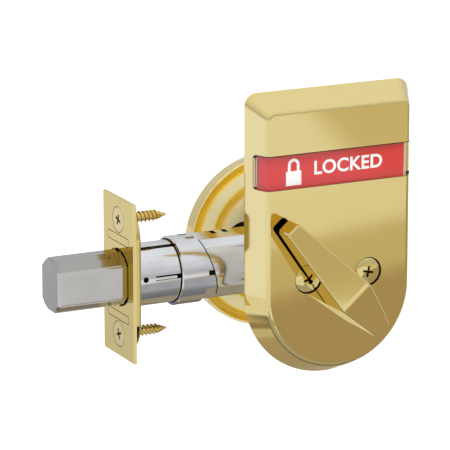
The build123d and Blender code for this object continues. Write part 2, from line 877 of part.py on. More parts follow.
def make_spindle():
    """Spindle from the lever through the escutcheon, slotted for the blade."""
    stub_y = esc_front - lever_gap - spindle_stub_depth
    shoulder = esc_front - lever_gap
    groove = arm_y + arm_thick
    tail = room_face + 3.0
    inner = spindle_radius - 1.1
    body = spun(
        Axis.Y,
        (0, stub_y),
        (spindle_stub_radius, stub_y),
        (spindle_stub_radius, shoulder),
        (spindle_radius, shoulder),
        (spindle_radius, groove),
        (inner, groove),
        (inner, groove + clip_thick),
        (spindle_radius, groove + clip_thick),
        (spindle_radius, tail - 0.6),
        (spindle_radius - 0.6, tail),
        (0, tail),
    )
    return body - slab(Rectangle(blade_thick, blade_width), blade_start(), tail + 1)


def blade_start():
    """Where the blade begins inside the spindle."""
    return room_face - 2.0


def make_clip():
    """Spring clip in the spindle's groove."""
    inner = spindle_radius - 1.1
    ring = Circle(spindle_radius + 1.8) - Circle(inner)
    ring -= Pos(0, -spindle_radius) * Rectangle(2.2 * inner, 2 * spindle_radius)
    groove = arm_y + arm_thick
    return slab(ring, groove, groove + clip_thick)


def make_rose():
    """Round rose with two concentric channels on its door side."""
    y0 = street_face
    land = y0 + land_y
    deep = land + groove_depth
    wall = y0 + rose_side
    face = rose_face
    return spun(
        Axis.Y,
        (rose_radius, y0),
        (rose_radius, wall),
        (rose_radius - rose_rim[0], wall + rose_rim[1]),
        (rose_radius - rose_shoulder[0], wall + rose_shoulder[1]),
        (rose_radius - rose_slope[0], wall + rose_slope[1]),
        (rose_face_radius + rose_brow[0], face - rose_brow[1]),
        (rose_face_radius, face),
        (cylinder_radius, face),
        (cylinder_radius, disc_y + disc_thick),
        (disc_radius, disc_y + disc_thick),
        (disc_radius, deep),
        (disc_radius + 0.6, deep + 0.5),
        (disc_radius + 2.9, deep + 0.5),
        (disc_radius + 3.8, deep - 0.6),
        (disc_radius + channel_width, land),
        (rose_radius - channel_width, land),
        (rose_radius - 3.7, deep - 1.2),
        (rose_radius - 3.0, deep - 0.5),
        (rose_radius - 1.7, deep - 0.5),
        (rose_radius - 1.1, deep - 1.4),
        (rose_radius - 0.9, y0),
    )


def make_disc():
    """Centring disc behind the rose, pierced for the posts and the cylinder."""
    disc = Circle(disc_radius - fit_gap) - Circle(shaft_case_radius)
    disc -= Pos(0, tower_top / 2) * Rectangle(2 * tower_half, tower_top)
    disc -= SlotOverall(2 * (disc_radius - disc_rim), 2 * disc_slot_half)
    return slab(disc, disc_y, disc_y + disc_thick)


def make_housing():
    """Key cylinder housing with its pin tower and two threaded posts."""
    back = housing_rear
    flange = disc_y + disc_thick
    housing = rod_y(0, 0, cylinder_radius - fit_gap, flange, cylinder_face)
    housing = chamfer(housing.faces().sort_by(Axis.Y)[-1].edges(), 0.5)
    housing += rod_y(0, 0, shaft_case_radius - fit_gap, back, flange)
    tower = Pos(0, (tower_top - 1.0) / 2) * Rectangle(2 * tower_half - 0.1, tower_top - 1.0)
    tower += Pos(0, tower_top - tower_half) * Circle(tower_half - fit_gap)
    housing += slab(tower, back, flange)
    for side in (-1, 1):
        x = side * bolt_pitch / 2
        housing += rod_y(x, 0, post_radius, back, flange)
    for side in (-1, 1):
        x = side * bolt_pitch / 2
        housing -= rod_y(x, 0, through_radius, back - 1, through_end + 0.5)
    housing -= rod_y(0, 0, plug_radius + pivot_gap, back - 1, cylinder_face + 1)
    lip_y = cylinder_face - plug_lip_depth - pivot_gap
    return housing - rod_y(0, 0, plug_lip + pivot_gap, lip_y, cylinder_face + 1)


def make_plug():
    """Rotating plug with a lipped face, a keyway and a pocket for the blade."""
    face = cylinder_face + 0.2
    plug = rod_y(0, 0, plug_radius, plug_rear, face)
    plug += rod_y(0, 0, plug_lip, cylinder_face - plug_lip_depth, face)
    groove = rod_y(0, 0, plug_radius + 1, plug_rear + 0.9, plug_rear + 1.9)
    groove -= rod_y(0, 0, plug_radius - 0.9, plug_rear + 0.9, plug_rear + 1.9)
    plug -= groove
    pocket = math.hypot(blade_width, blade_thick) / 2 + slide_gap
    plug -= rod_y(0, 0, pocket, plug_rear - 1, blade_reach + 0.6)
    low = -plug_radius + 0.9
    keyway = Pos(0, low + keyway_height / 2) * Rectangle(keyway_width, keyway_height)
    keyway += Pos(keyway_width * 0.35, low + keyway_height * 0.36) * Rectangle(keyway_width, 1.5)
    keyway -= Pos(-keyway_width * 0.5, low + keyway_height * 0.6) * Rectangle(keyway_width * 0.8, 1.1)
    return plug - slab(keyway, blade_reach + 2.5, face + 1)


def make_plug_clip():
    """Retaining clip in the plug's rear groove."""
    ring = Circle(plug_radius + 1.2) - Circle(plug_radius - 0.9)
    ring -= Pos(0, plug_radius) * Rectangle(plug_radius * 1.5, plug_radius)
    return slab(ring, plug_rear + 0.9, plug_rear + 1.7)


def main():
    """Build every piece and write it."""
    os.makedirs("parts", exist_ok=True)
    head, roller, tail_pin = make_bolt()
    write("bolt_head", head)
    write("hardened_roller", roller)
    write("tail_pin", tail_pin)
    write("bolt_tail", make_tail())
    write("crank", make_crank())
    write("drive_blade", slab(Rectangle(blade_thick, blade_width), blade_start(), blade_reach))
    outer = hub_plate_y + hub_plate_thick
    write("hub_plate_room", slab(hub_outline(), -outer, -hub_plate_y))
    write("hub_plate_street", slab(hub_outline(), hub_plate_y, outer))
    write("case_rivets", make_rivets())
    write("barrel", make_barrel())
    write("backset_collar", make_collar())
    write("rear_case", make_case())
    write("faceplate", make_faceplate())
    write("backing_cup", make_cup())
    write("faceplate_screws", Compound(children=wood_screws(0)))
    write("escutcheon", make_escutcheon())
    write("back_plate", make_back_plate())
    write("back_plate_screws", make_cap_screws())
    write("window_lens", make_lens())
    band_low = (window_low + window_high - indicator_travel) / 2
    write("locked_panel", make_panel(band_low))
    write("unlocked_panel", make_panel(band_low - indicator_travel))
    write("indicator_carriage", make_carriage(band_low - indicator_travel, band_low + indicator_travel))
    write("indicator_arm", make_arm())
    write("thumbturn", make_lever())
    write("spindle", make_spindle())
    write("spindle_clip", make_clip())
    washer = Circle(spindle_radius + washer_width) - Circle(spindle_radius + pivot_gap)
    write("spring_washer", slab(washer, esc_inner, esc_inner + washer_thick))
    bolts = [Pos(side * bolt_pitch / 2, 0, 0) * through_bolt(0) for side in (-1, 1)]
    write("through_bolts", Compound(children=bolts))
    write("rose", make_rose())
    write("centring_disc", make_disc())
    write("cylinder_housing", make_housing())
    write("key_plug", make_plug())
    write("plug_clip", make_plug_clip())


main()
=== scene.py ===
import math

import bpy
from bpy.props import FloatProperty, FloatVectorProperty, PointerProperty, StringProperty
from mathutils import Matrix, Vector


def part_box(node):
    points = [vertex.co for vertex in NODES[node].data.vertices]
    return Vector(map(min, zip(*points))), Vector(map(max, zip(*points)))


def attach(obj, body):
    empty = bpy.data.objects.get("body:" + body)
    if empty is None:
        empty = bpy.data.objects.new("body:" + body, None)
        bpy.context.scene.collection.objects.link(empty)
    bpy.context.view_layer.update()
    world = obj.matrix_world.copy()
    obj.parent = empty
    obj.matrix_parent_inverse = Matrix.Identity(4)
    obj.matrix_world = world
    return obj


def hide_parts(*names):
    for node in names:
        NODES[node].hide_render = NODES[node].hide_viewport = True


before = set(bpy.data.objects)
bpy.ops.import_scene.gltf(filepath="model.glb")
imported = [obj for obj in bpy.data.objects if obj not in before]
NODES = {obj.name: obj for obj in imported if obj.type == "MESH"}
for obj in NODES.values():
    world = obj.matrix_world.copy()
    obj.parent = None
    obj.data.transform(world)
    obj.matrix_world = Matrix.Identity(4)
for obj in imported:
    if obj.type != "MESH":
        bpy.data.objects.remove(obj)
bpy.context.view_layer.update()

bl_info = {
    "name": "Indicator Deadbolt",
    "version": (1, 0, 0),
    "blender": (4, 5, 0),
    "location": "3D View > Sidebar > Deadbolt",
    "description": "Dresses a deadbolt with its finishes, screws, signs and studio",
    "category": "Object",
}

MM = 0.001
FAR = 999.0

FACE_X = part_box("faceplate")[0].x
ESCUTCHEON_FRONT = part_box("escutcheon")[0].y
WINDOW_MIDDLE = 39.1 * MM
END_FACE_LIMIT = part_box("bolt_head")[0].x + 0.03 * MM
FACET_HEIGHT = 6.22 * MM
ZINC_SHADED_UNDERSIDE = (-8.4 * MM, -10.6 * MM)
HOUSING_STREET_SIDE = (26 * MM, 28 * MM)
ROSE_DOOR_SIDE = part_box("rose")[0].y + 4.55 * MM
ROSE_RIM = 31.62 * MM
ROSE_CHANNELS = ((29.2, 1.5, 2.2), (20.5, 2.2, 3.0))  # mm: middle radius, half widths of floor and of edge
PLATE_SCREWS = ((-19 * MM, -13 * MM, 15), (19 * MM, -13 * MM, 50), (0.0, -24.3 * MM, -10))
SCREW_SMOOTH = math.radians(35)
DULL = 0.6
CROSS_TAPER = 0.55
THREAD_WIDTH = 0.42  # half the ridge's width, as a share of the pitch
WELD, FINE_WELD = 0.002 * MM, 0.001 * MM

# The lever's underside, which gets painted shade, in mm along its slope: from, to, rise at the first and at the
# second
LEVER_SLOPE = math.radians(49)
LEVER_RISE = ((-9.5, -5.5, 0.5, 0.0), (-5.5, 0.0, 0.4, 0.0), (0.0, 6.0, 1.5, 0.35))

# Where the zinc pieces get painted shade, in mm: from and to behind the face, and from and to in radius
ZINC_SHADES = {
    "Barrel Zinc": ((18.9, FAR, -1, FAR), (-FAR, FAR, 10.6, 11.02), (-FAR, FAR, -1, 10.3)),
    "Backset Collar Zinc": ((-FAR, 19.3, -1, 11.6),),
    "Rear Case Zinc": ((-FAR, 36.9, -1, 11.13),),
}

# Lines of painted shade in grooves and joints: (centre, half size, flatten, radius, width), mirrored over the
# middle planes of X and Y
LINE_LABELS = ("Centre", "Half_Size", "Flatten", "Radius", "Width")
ESCUTCHEON_LINES = (
    ((11.7 * MM, 0, 0), (0, 0, 0), (1, 0, 1), 5.03 * MM, 0.4 * MM),
    ((0, -ESCUTCHEON_FRONT, WINDOW_MIDDLE), (0, 4.7 * MM, 4.7 * MM), (0, 1, 1), 1.40 * MM, 0.2 * MM),
)
FACEPLATE_LINES = tuple(
    line for side in (-1, 1) for line in (
        ((0, 0, side * 20.64 * MM), (0, 0, 0), (0, 1, 1), 4.52 * MM, 0.3 * MM),
        ((0, 0, side * 13.9 * MM), (0, 8.0 * MM, 0.85 * MM), (0, 1, 1), 0.6 * MM, 0.28 * MM),
    ))
CUP_LINES = (((-FACE_X - 1.2 * MM, 0, 0), (0, 0, 0), (1, 0, 0), 0.0, 0.5 * MM),
             ((-FACE_X - 3.6 * MM, 0, 0), (0, 0, 0), (1, 0, 0), 0.0, 0.3 * MM))

# Painted reflections: tones that mirrors see on the floor, by place along the ways below; and tones in the sky,
# by height
WAY_AHEAD, WAY_ACROSS = (-0.28, -1.0, 0.0), (3.56, 1.0, 0.0)
WAY_BESIDE, WAY_SIDEWAYS = (-1.1946, -0.695, 0.0), (2.0, 0.0, 0.0)
AHEAD_SCALE = 0.4
AHEAD_TONES = ((0.0, (0.475, 0.39, 0.275)), (0.181, (0.475, 0.39, 0.275)), (0.188, (0.68, 0.61, 0.45)),
               (0.209, (0.68, 0.61, 0.45)), (0.221, (0.92, 0.92, 0.90)), (0.32, (0.975, 0.98, 1.03)),
               (0.590, 0.95), (0.608, (0.70, 0.65, 0.48)), (0.72, (0.65, 0.575, 0.44)))
REAR_TONES = ((0.0, 0.70), (0.36, 0.70), (0.50, 0.84), (0.8, 0.86))
WALL_TONES = ((0.05, (0.64, 0.58, 0.41)), (0.12, (0.62, 0.56, 0.38)), (0.17, (0.36, 0.30, 0.22)),
              (0.20, (0.36, 0.30, 0.22)), (0.225, (0.66, 0.61, 0.49)), (0.27, (0.66, 0.61, 0.49)),
              (0.32, (0.49, 0.42, 0.32)), (0.55, (0.42, 0.35, 0.23)), (0.75, (0.44, 0.36, 0.21)),
              (0.95, (0.54, 0.47, 0.33)))
BARREL_TONES = ((0.0, 0.18), (0.07, 0.27), (0.15, 0.50), (0.27, 0.47), (0.33, 0.60))
SECOND_TONES = ((0.0, 0.95), (0.12, 0.95), (0.17, (0.68, 0.54, 0.20)), (0.30, (0.68, 0.54, 0.20)),
                (0.55, (0.64, 0.50, 0.15)))
FRONT_SKY = ((0.4, 0.55), (0.55, 0.62), (0.65, 0.76), (0.75, 0.86), (0.85, 0.93), (0.95, 1.0))
REAR_SKY = ((0.5, 0.68), (0.72, 0.75), (0.87, 0.90), (0.97, 1.0))
SECOND_SKY = (0.75, 0.55, 0.18)
REFLECTION_PATCH_TONE = (0.725, 0.66, 0.485)
LATCH_TONE, FLANK_TONE = (0.93, 0.93, 0.93), (1.03, 1.08, 1.30)
LEFT_TONE, BLUE_TONE = (0.95, 0.96, 0.99), (1.04, 1.12, 1.5)


class DeadboltFinishes(bpy.types.PropertyGroup):
    """Colours and roughness of the metals and plastics."""

    brass: FloatVectorProperty(
        name="Brass", description="Colour of the polished brass", subtype="COLOR", default=(0.75, 0.61, 0.245),
        min=0, max=1)
    satin_brass: FloatVectorProperty(
        name="Satin brass", description="Colour of the rose's door side", subtype="COLOR",
        default=(0.92, 0.80, 0.45), min=0, max=1)
    # Painted reflection: the deep gold stands for light bounced between the rose's channel walls.
    painted_channel_gold: FloatVectorProperty(
        name="Painted channel gold", description="Colour in the rose's channels", subtype="COLOR",
        default=(0.95, 0.70, 0.08), min=0, max=1)
    brass_roughness: FloatProperty(
        name="Brass roughness", description="Blur of the brass's reflections", default=0.045, min=0, max=1)
    # Painted shade: the dark tone put into joints, grooves and undersides where shade falls.
    painted_shade: FloatVectorProperty(
        name="Painted shade", description="Tone of the joints, grooves and raw undersides", subtype="COLOR",
        default=(0.012, 0.009, 0.006), min=0, max=1)
    zinc: FloatVectorProperty(
        name="Bright zinc", description="Colour of the barrel and its collar", subtype="COLOR",
        default=(0.72, 0.735, 0.76), min=0, max=1)
    satin: FloatVectorProperty(
        name="Satin nickel", description="Colour of the bolt head", subtype="COLOR", default=(0.54, 0.53, 0.515),
        min=0, max=1)
    steel: FloatVectorProperty(
        name="Pressed steel", description="Colour of the plain pressings", subtype="COLOR",
        default=(0.40, 0.41, 0.43), min=0, max=1)
    red: FloatVectorProperty(
        name="Red band", description="Colour behind the locked sign", subtype="COLOR",
        default=(0.60, 0.014, 0.014), min=0, max=1)
    green: FloatVectorProperty(
        name="Green band", description="Colour behind the unlocked sign", subtype="COLOR",
        default=(0.02, 0.25, 0.06), min=0, max=1)


class DeadboltScrews(bpy.types.PropertyGroup):
    """Sizes of the screw heads and their threads."""

    cross_width: FloatProperty(
        name="Cross width", description="Width of a cross recess's slot", default=0.00105, min=0.0002,
        unit="LENGTH")
    cross_reach: FloatProperty(
        name="Cross reach", description="Reach of a cross recess from its middle", default=0.0026, min=0.0005,
        unit="LENGTH")
    cross_depth: FloatProperty(
        name="Cross depth", description="Depth of a cross recess", default=0.0016, min=0.0002, unit="LENGTH")
    dome: FloatProperty(
        name="Head dome", description="Rise of a through bolt's domed head", default=0.0006, min=0.0001,
        unit="LENGTH")
    wood_pitch: FloatProperty(
        name="Wood thread pitch", description="Rise of one turn of the wood thread", default=0.00148, min=0.0005,
        unit="LENGTH")
    wood_tip: FloatProperty(
        name="Wood screw tip", description="Length of a wood screw's point", default=0.0036, min=0.001,
        unit="LENGTH")
    machine_pitch: FloatProperty(
        name="Machine thread pitch", description="Rise of one turn of the machine thread", default=0.0009,
        min=0.0003, unit="LENGTH")


class DeadboltSigns(bpy.types.PropertyGroup):
    """Words and sizes of the indicator's signs."""

    locked_word: StringProperty(name="Locked word", description="Word on the red band", default="LOCKED")
    unlocked_word: StringProperty(name="Unlocked word", description="Word on the green band", default="UNLOCKED")
    letter_height: FloatProperty(
        name="Letter height", description="Height of a capital", default=0.0047, min=0.001, unit="LENGTH")
    word_start: FloatProperty(
        name="Word start", description="Left edge of the locked word", default=-0.0088, unit="LENGTH")
    padlock_width: FloatProperty(
        name="Padlock width", description="Width of the padlock's body", default=0.0059, min=0.001,
        unit="LENGTH")
    padlock_place: FloatProperty(
        name="Padlock place", description="Middle of the padlock", default=-0.0168, unit="LENGTH")
    ink_thickness: FloatProperty(
        name="Ink thickness", description="Height of the print over the band", default=0.00006, min=0.00001,
        unit="LENGTH")


class DeadboltStudio(bpy.types.PropertyGroup):
    """Floor, lamps and camera."""

    floor_drop: FloatProperty(
        name="Floor drop", description="Depth of the floor below the bolt's axis", default=0.16, min=0.05,
        unit="LENGTH")
    key_watts: FloatProperty(
        name="Key lamp", description="Power of the key lamp; the others follow it", default=9.0, min=0.0,
        unit="POWER")
    camera_lens: FloatProperty(
        name="Lens", description="Focal length for a 36 mm frame", default=289.1, min=20, unit="CAMERA")
    camera_azimuth: FloatProperty(
        name="Camera azimuth", description="Turn of the view away from straight on", default=math.radians(25.87),
        unit="ROTATION")
    camera_pitch: FloatProperty(
        name="Camera pitch", description="Downward tilt of the view", default=math.radians(14.61),
        unit="ROTATION")
    camera_place: FloatVectorProperty(
        name="Camera place", description="Where the camera stands", default=(-0.5661, -1.1085, 0.3351),
        subtype="TRANSLATION")


# Shader nodes

def feed(node, inputs):
    """Link or set a node's inputs by name or number; a colour gets its alpha."""
    for key, value in inputs.items():
        socket = node.inputs[key]
        if isinstance(value, bpy.types.NodeSocket):
            node.id_data.links.new(value, socket)
        elif socket.type == "RGBA":
            socket.default_value = (*value[:3], 1)
        else:
            socket.default_value = value
    return node


def add_node(kind, inputs=None, tree=None, **settings):
    """Add a shader node with its inputs and settings to a tree, or to that of the sockets that feed it."""
    tree = tree or next(value.id_data for value in inputs.values() if isinstance(value, bpy.types.NodeSocket))
    node = tree.nodes.new("ShaderNode" + kind)
    for key, value in settings.items():
        setattr(node, key, value)
    return feed(node, inputs or {})


def math_node(operation, *values):
    """Math on sockets or numbers."""
    return add_node("Math", dict(enumerate(values)), operation=operation).outputs["Value"]


def product(*values):
    """Product of several masks or numbers."""
    total = values[0]
    for value in values[1:]:
        total = math_node("MULTIPLY", total, value)
    return total


def vector_node(operation, *values):
    """Vector math on sockets or vectors."""
    node = add_node("VectorMath", dict(enumerate(values)), operation=operation)
    return node.outputs["Value" if operation in ("LENGTH", "DOT_PRODUCT") else "Vector"]


def separated(vector):
    """X, Y and Z of a vector."""
    return tuple(add_node("SeparateXYZ", {"Vector": vector}).outputs)


def scaled(color, factor):
    """Colour times a socket's value."""
    return add_node("VectorMath", {0: color, "Scale": factor}, operation="SCALE").outputs["Vector"]


def noise(vector, scale, detail=2.0):
    """Noise from 0 to 1 at a scale."""
    return add_node("TexNoise", {"Vector": vector, "Scale": scale, "Detail": detail}).outputs["Fac"]


def remapped(value, start=0.0, end=1.0, low=0.0, high=1.0, kind="LINEAR"):
    """Take the values from start to end to those from low to high, and hold them there."""
    inputs = {"Value": value, "From Min": start, "From Max": end, "To Min": low, "To Max": high}
    return add_node("MapRange", inputs, interpolation_type=kind).outputs["Result"]


def smooth_mask(value, start, end):
    """Soft step from 0 to 1 between two values."""
    return remapped(value, start, end, kind="SMOOTHSTEP")


def band_mask(value, start, full, last, end):
    """Soft band: it rises from start to full and falls from last to end."""
    return product(smooth_mask(value, start, full), smooth_mask(value, end, last))


def within(value, low, high):
    """1 between two values and 0 elsewhere."""
    return product(math_node("GREATER_THAN", value, low), math_node("LESS_THAN", value, high))


def mixed(mask, below, above):
    """Mix one colour over another where a mask is set."""
    return add_node("Mix", {"Factor": mask, "A": below, "B": above}, data_type="RGBA").outputs["Result"]


def mixed_shaders(mask, below, above):
    """Mix one shader over another where a mask is set."""
    return add_node("MixShader", {"Fac": mask, 1: below, 2: above}).outputs["Shader"]


def tone_ramp(value, tones):
    """Colour ramp over places from 0 to 1: (place, tone) each."""
    node = add_node("ValToRGB", {"Fac": value})
    ramp = node.color_ramp
    ramp.interpolation = "EASE"
    while len(ramp.elements) < len(tones):
        ramp.elements.new(0.5)
    for element, (position, tone) in zip(ramp.elements, tones):
        element.position = position
        element.color = (*(tone if isinstance(tone, tuple) else (tone, tone, tone)), 1)
    return node.outputs["Color"]


def dimmed(color, factor):
    """Plain colour times a number."""
    return tuple(factor * value for value in color)


# Shader groups that several finishes share

def build_polish(given):
    """Uneven polish: faint clouds in the roughness and hair-fine wiping marks."""
    clouds = noise(given["Vector"], given["Cloud Scale"], 3.0)
    along = vector_node("MULTIPLY", given["Vector"], (0.08, 1.0, 1.0))
    return (remapped(clouds, 0.35, 0.65, given["Low"], given["High"]),
            noise(along, given["Mark Scale"]))


def build_brushing(given):
    """Brushed or rolled metal: long fine lines along one direction, in patches."""
    lines = noise(vector_node("MULTIPLY", given["Vector"], given["Stretch"]), given["Scale"], 4.0)
    patches = noise(given["Vector"], 90.0)
    strength = remapped(product(lines, patches), 0.12, 0.38)
    return mixed(strength, given["Dark"], given["Light"]), lines


def build_grain(given):
    """Cast or moulded skin: a soft even grain with slow drift in tone."""
    drift = math_node("SUBTRACT", noise(given["Vector"], 70.0), 0.5)
    weight = math_node("MULTIPLY_ADD", drift, given["Drift"], 1.0)
    return scaled(given["Color"], weight), noise(given["Vector"], given["Scale"], 3.0)


def build_line(given):
    """Thin line of painted shade in a groove or joint: a ring or a rounded frame, mirrored over X and Y."""
    x, y, z = separated(given["Vector"])
    folded = {"X": math_node("ABSOLUTE", x), "Y": math_node("ABSOLUTE", y), "Z": z}
    folded = add_node("CombineXYZ", folded).outputs["Vector"]
    away = vector_node("ABSOLUTE", vector_node("SUBTRACT", folded, given["Centre"]))
    away = vector_node("MAXIMUM", vector_node("SUBTRACT", away, given["Half Size"]), (0, 0, 0))
    reach = vector_node("LENGTH", vector_node("MULTIPLY", away, given["Flatten"]))
    half = product(given["Width"], 0.5)
    return (math_node("COMPARE", reach, given["Radius"], half),)


# Each group's builder, its inputs with their defaults, which also say their kinds, and its outputs
NOWHERE = (0.0, 0.0, 0.0)
SHARED_GROUPS = {
    "Polish": (build_polish, {"Vector": NOWHERE, "Cloud Scale": 60.0, "Mark Scale": 900.0, "Low": 0.05,
                              "High": 0.1}, ("Roughness", "Marks")),
    "Brushing": (build_brushing, {"Vector": NOWHERE, "Stretch": (0.02, 1.0, 1.0), "Scale": 2500.0,
                                  "Light": (0.5, 0.5, 0.5, 1), "Dark": (0.4, 0.4, 0.4, 1)}, ("Color", "Lines")),
    "Grain": (build_grain, {"Vector": NOWHERE, "Scale": 1400.0, "Color": (0.5, 0.5, 0.5, 1), "Drift": 0.06},
              ("Color", "Height")),
    "Painted Shade Line": (build_line, {"Vector": NOWHERE, "Centre": NOWHERE, "Half Size": NOWHERE,
                                   "Flatten": NOWHERE, "Radius": 0.005, "Width": 0.0003}, ("Mask",)),
}


def make_group(name, build, inputs, outputs):
    """Make a shader node group with named sockets between its two end nodes."""
    tree = bpy.data.node_groups.new(name, "ShaderNodeTree")
    for label, default in inputs.items():
        kind = "Float" if isinstance(default, float) else "Color" if len(default) == 4 else "Vector"
        socket = tree.interface.new_socket(label, in_out="INPUT", socket_type="NodeSocket" + kind)
        socket.default_value = default
    for label in outputs:
        kind = "Color" if label == "Color" else "Float"
        tree.interface.new_socket(label, in_out="OUTPUT", socket_type="NodeSocket" + kind)
    start, end = tree.nodes.new("NodeGroupInput"), tree.nodes.new("NodeGroupOutput")
    feed(end, dict(zip(outputs, build(start.outputs))))


def use_group(name, place, **values):
    """Outputs of a shared group, made the first time and fed by Object coordinates."""
    if name not in bpy.data.node_groups:
        make_group(name, *SHARED_GROUPS[name])
    inputs = {label.replace("_", " "): value for label, value in values.items()}
    return add_node("Group", {"Vector": place, **inputs}, node_tree=bpy.data.node_groups[name]).outputs


def new_material(name):
    """Make a material; return its Principled shader and Object coordinates."""
    material = bpy.data.materials.new(name)
    material.use_nodes = True
    tree = material.node_tree
    tree.nodes.clear()
    shader = add_node("BsdfPrincipled", tree=tree)
    add_node("OutputMaterial", {"Surface": shader.outputs["BSDF"]})
    return shader, add_node("TexCoord", tree=tree).outputs["Object"]


def show(surface):
    """Put another shader on its material's surface."""
    feed(next(node for node in surface.id_data.nodes if node.type == "OUTPUT_MATERIAL"), {"Surface": surface})


def bump(shader, height, strength, distance):
    """Feed a height into the shader's normal."""
    node = add_node("Bump", {"Strength": strength, "Distance": distance, "Height": height})
    feed(shader, {"Normal": node.outputs["Normal"]})


# Finishes

def brass_material(name, lines=(), coat=1.0, tone=1.0):
    """Mirror-polished brass under clear lacquer, with painted shade in its grooves and joints."""
    looks = bpy.context.scene.deadbolt_finishes
    shader, place = new_material(name)
    color = dimmed(looks.brass, tone)
    polish = use_group("Polish", place, Low=looks.brass_roughness * 0.8, High=looks.brass_roughness * 1.35)
    feed(shader, {"Base Color": color, "Metallic": 1.0, "Coat Weight": coat, "Coat Roughness": 0.04,
                  "Roughness": polish["Roughness"]})
    bump(shader, polish["Marks"], 0.03, 0.02 * MM)
    mask = None
    # Painted shade: each line darkens and dulls the brass in a groove or joint.
    for values in lines:
        line = use_group("Painted Shade Line", place, **dict(zip(LINE_LABELS, values)))["Mask"]
        mask = line if mask is None else math_node("MAXIMUM", mask, line)
    if mask:
        rough = math_node("MAXIMUM", polish["Roughness"], product(mask, DULL))
        feed(shader, {"Base Color": mixed(mask, color, looks.painted_shade), "Roughness": rough,
                      "Coat Weight": remapped(mask, low=coat, high=0.0),
                      "Metallic": math_node("SUBTRACT", 1.0, mask)})
    return shader, place


def lever_material(name):
    """Polished brass on the lever's wing; its underside is painted dark as shade."""
    looks = bpy.context.scene.deadbolt_finishes
    shader, place = brass_material(name)
    along = vector_node("DOT_PRODUCT", place, (math.cos(LEVER_SLOPE), 0, -math.sin(LEVER_SLOPE)))
    depth = separated(place)[1]
    for ranges in LEVER_RISE:
        depth = math_node("ADD", depth, remapped(along, *(value * MM for value in ranges)))
    # Painted shade: everything behind this depth under the lever is made dark.
    shaded_underside = math_node("GREATER_THAN", depth, ESCUTCHEON_FRONT)
    feed(shader, {"Base Color": mixed(shaded_underside, looks.brass, looks.painted_shade)})


def zinc_material(name, shades):
    """Bright zinc plate with a faint drawn grain along the tube, with painted shade in its joints and cuts and
    along its underside.
    """
    looks = bpy.context.scene.deadbolt_finishes
    shader, place = new_material(name)
    lines = use_group("Brushing", place, Scale=1500.0, Stretch=(0.05, 1.0, 1.0), Light=looks.zinc,
                      Dark=dimmed(looks.zinc, 0.86))
    polish = use_group("Polish", place, Low=0.08, High=0.15)
    x, _, z = separated(place)
    # Painted shade: the underside of the zinc turns a dark blue grey.
    shaded_underside = smooth_mask(z, *ZINC_SHADED_UNDERSIDE)
    color = mixed(shaded_underside, lines["Color"], (0.20, 0.23, 0.29))
    radius = vector_node("LENGTH", vector_node("MULTIPLY", place, (0, 1, 1)))
    # Painted shade in the joints and cuts listed in ZINC_SHADES.
    mask = 0.0
    for start, end, inside, outside in shades:
        dark = product(within(x, FACE_X + start * MM, FACE_X + end * MM),
                       within(radius, inside * MM, outside * MM))
        mask = math_node("MAXIMUM", mask, dark)
    feed(shader, {"Base Color": mixed(mask, color, looks.painted_shade), "Metallic": 1.0,
                  "Roughness": polish["Roughness"]})
    bump(shader, lines["Lines"], 0.06, 0.03 * MM)


def satin_material(name):
    """Satin nickel on the bolt head: a fine blasted speckle; the facets are painted darker as shade, and the end
    face has a flat darker tone.
    """
    looks = bpy.context.scene.deadbolt_finishes
    shader, place = new_material(name)
    lines = use_group("Brushing", place, Scale=2600.0, Stretch=(0.5, 1.0, 1.0), Light=looks.satin,
                      Dark=dimmed(looks.satin, 0.92))
    x, _, z = separated(place)
    end_face = math_node("LESS_THAN", x, END_FACE_LIMIT)
    specks = smooth_mask(noise(place, 3200.0, 1.0), 0.35, 0.65)
    # Painted shade: the facets above FACET_HEIGHT are darkened.
    shaded_facet = math_node("GREATER_THAN", math_node("ABSOLUTE", z), FACET_HEIGHT)
    tone = product(math_node("MULTIPLY_ADD", specks, 0.09, 0.96),
                   math_node("MULTIPLY_ADD", shaded_facet, -0.26, 1.0))
    color = mixed(end_face, scaled(lines["Color"], tone), dimmed(looks.satin, 0.7))
    feed(shader, {"Base Color": color, "Metallic": 1.0, "Roughness": 0.14})
    bump(shader, use_group("Grain", place, Scale=2600.0)["Height"], 0.10, 0.04 * MM)


def steel_material(name, tone, roughness):
    """Plain or hardened steel, rolled and slightly uneven."""
    color = dimmed(bpy.context.scene.deadbolt_finishes.steel, tone)
    shader, place = new_material(name)
    lines = use_group("Brushing", place, Scale=1200.0, Stretch=(0.3, 1.0, 1.0), Light=color,
                      Dark=dimmed(color, 0.78))
    feed(shader, {"Base Color": lines["Color"], "Metallic": 1.0, "Roughness": roughness})
    bump(shader, lines["Lines"], 0.1, 0.04 * MM)


def grained_material(name, color, roughness, metallic=0.0, scale=1400.0, strength=0.1, specular=0.5):
    """Cast metal, moulded plastic or printed ink with a fine even grain, in a colour or a named setting's."""
    if isinstance(color, str):
        color = getattr(bpy.context.scene.deadbolt_finishes, color)
    shader, place = new_material(name)
    grain = use_group("Grain", place, Scale=scale, Color=color)
    feed(shader, {"Base Color": grain["Color"], "Metallic": metallic, "Roughness": roughness,
                  "Specular IOR Level": specular})
    bump(shader, grain["Height"], strength, 0.04 * MM)


def recess_material(name):
    """Brass in shade at the bottom of a driver's cross."""
    grained_material(name, dimmed(bpy.context.scene.deadbolt_finishes.brass, 0.12), 0.35, 1.0)


def housing_material(name):
    """Cylinder housing: polished on its street face; painted shade, dull and dark, where it hides behind the
    rose.
    """
    looks = bpy.context.scene.deadbolt_finishes
    shader, place = new_material(name)
    street = remapped(separated(place)[1], *HOUSING_STREET_SIDE)
    # Painted shade: the part hidden behind the rose is near black.
    grain = use_group("Grain", place, Scale=900.0, Color=(0.06, 0.05, 0.04))
    feed(shader, {"Base Color": mixed(street, grain["Color"], looks.brass), "Metallic": 1.0,
                  "Roughness": remapped(street, low=0.5, high=looks.brass_roughness)})


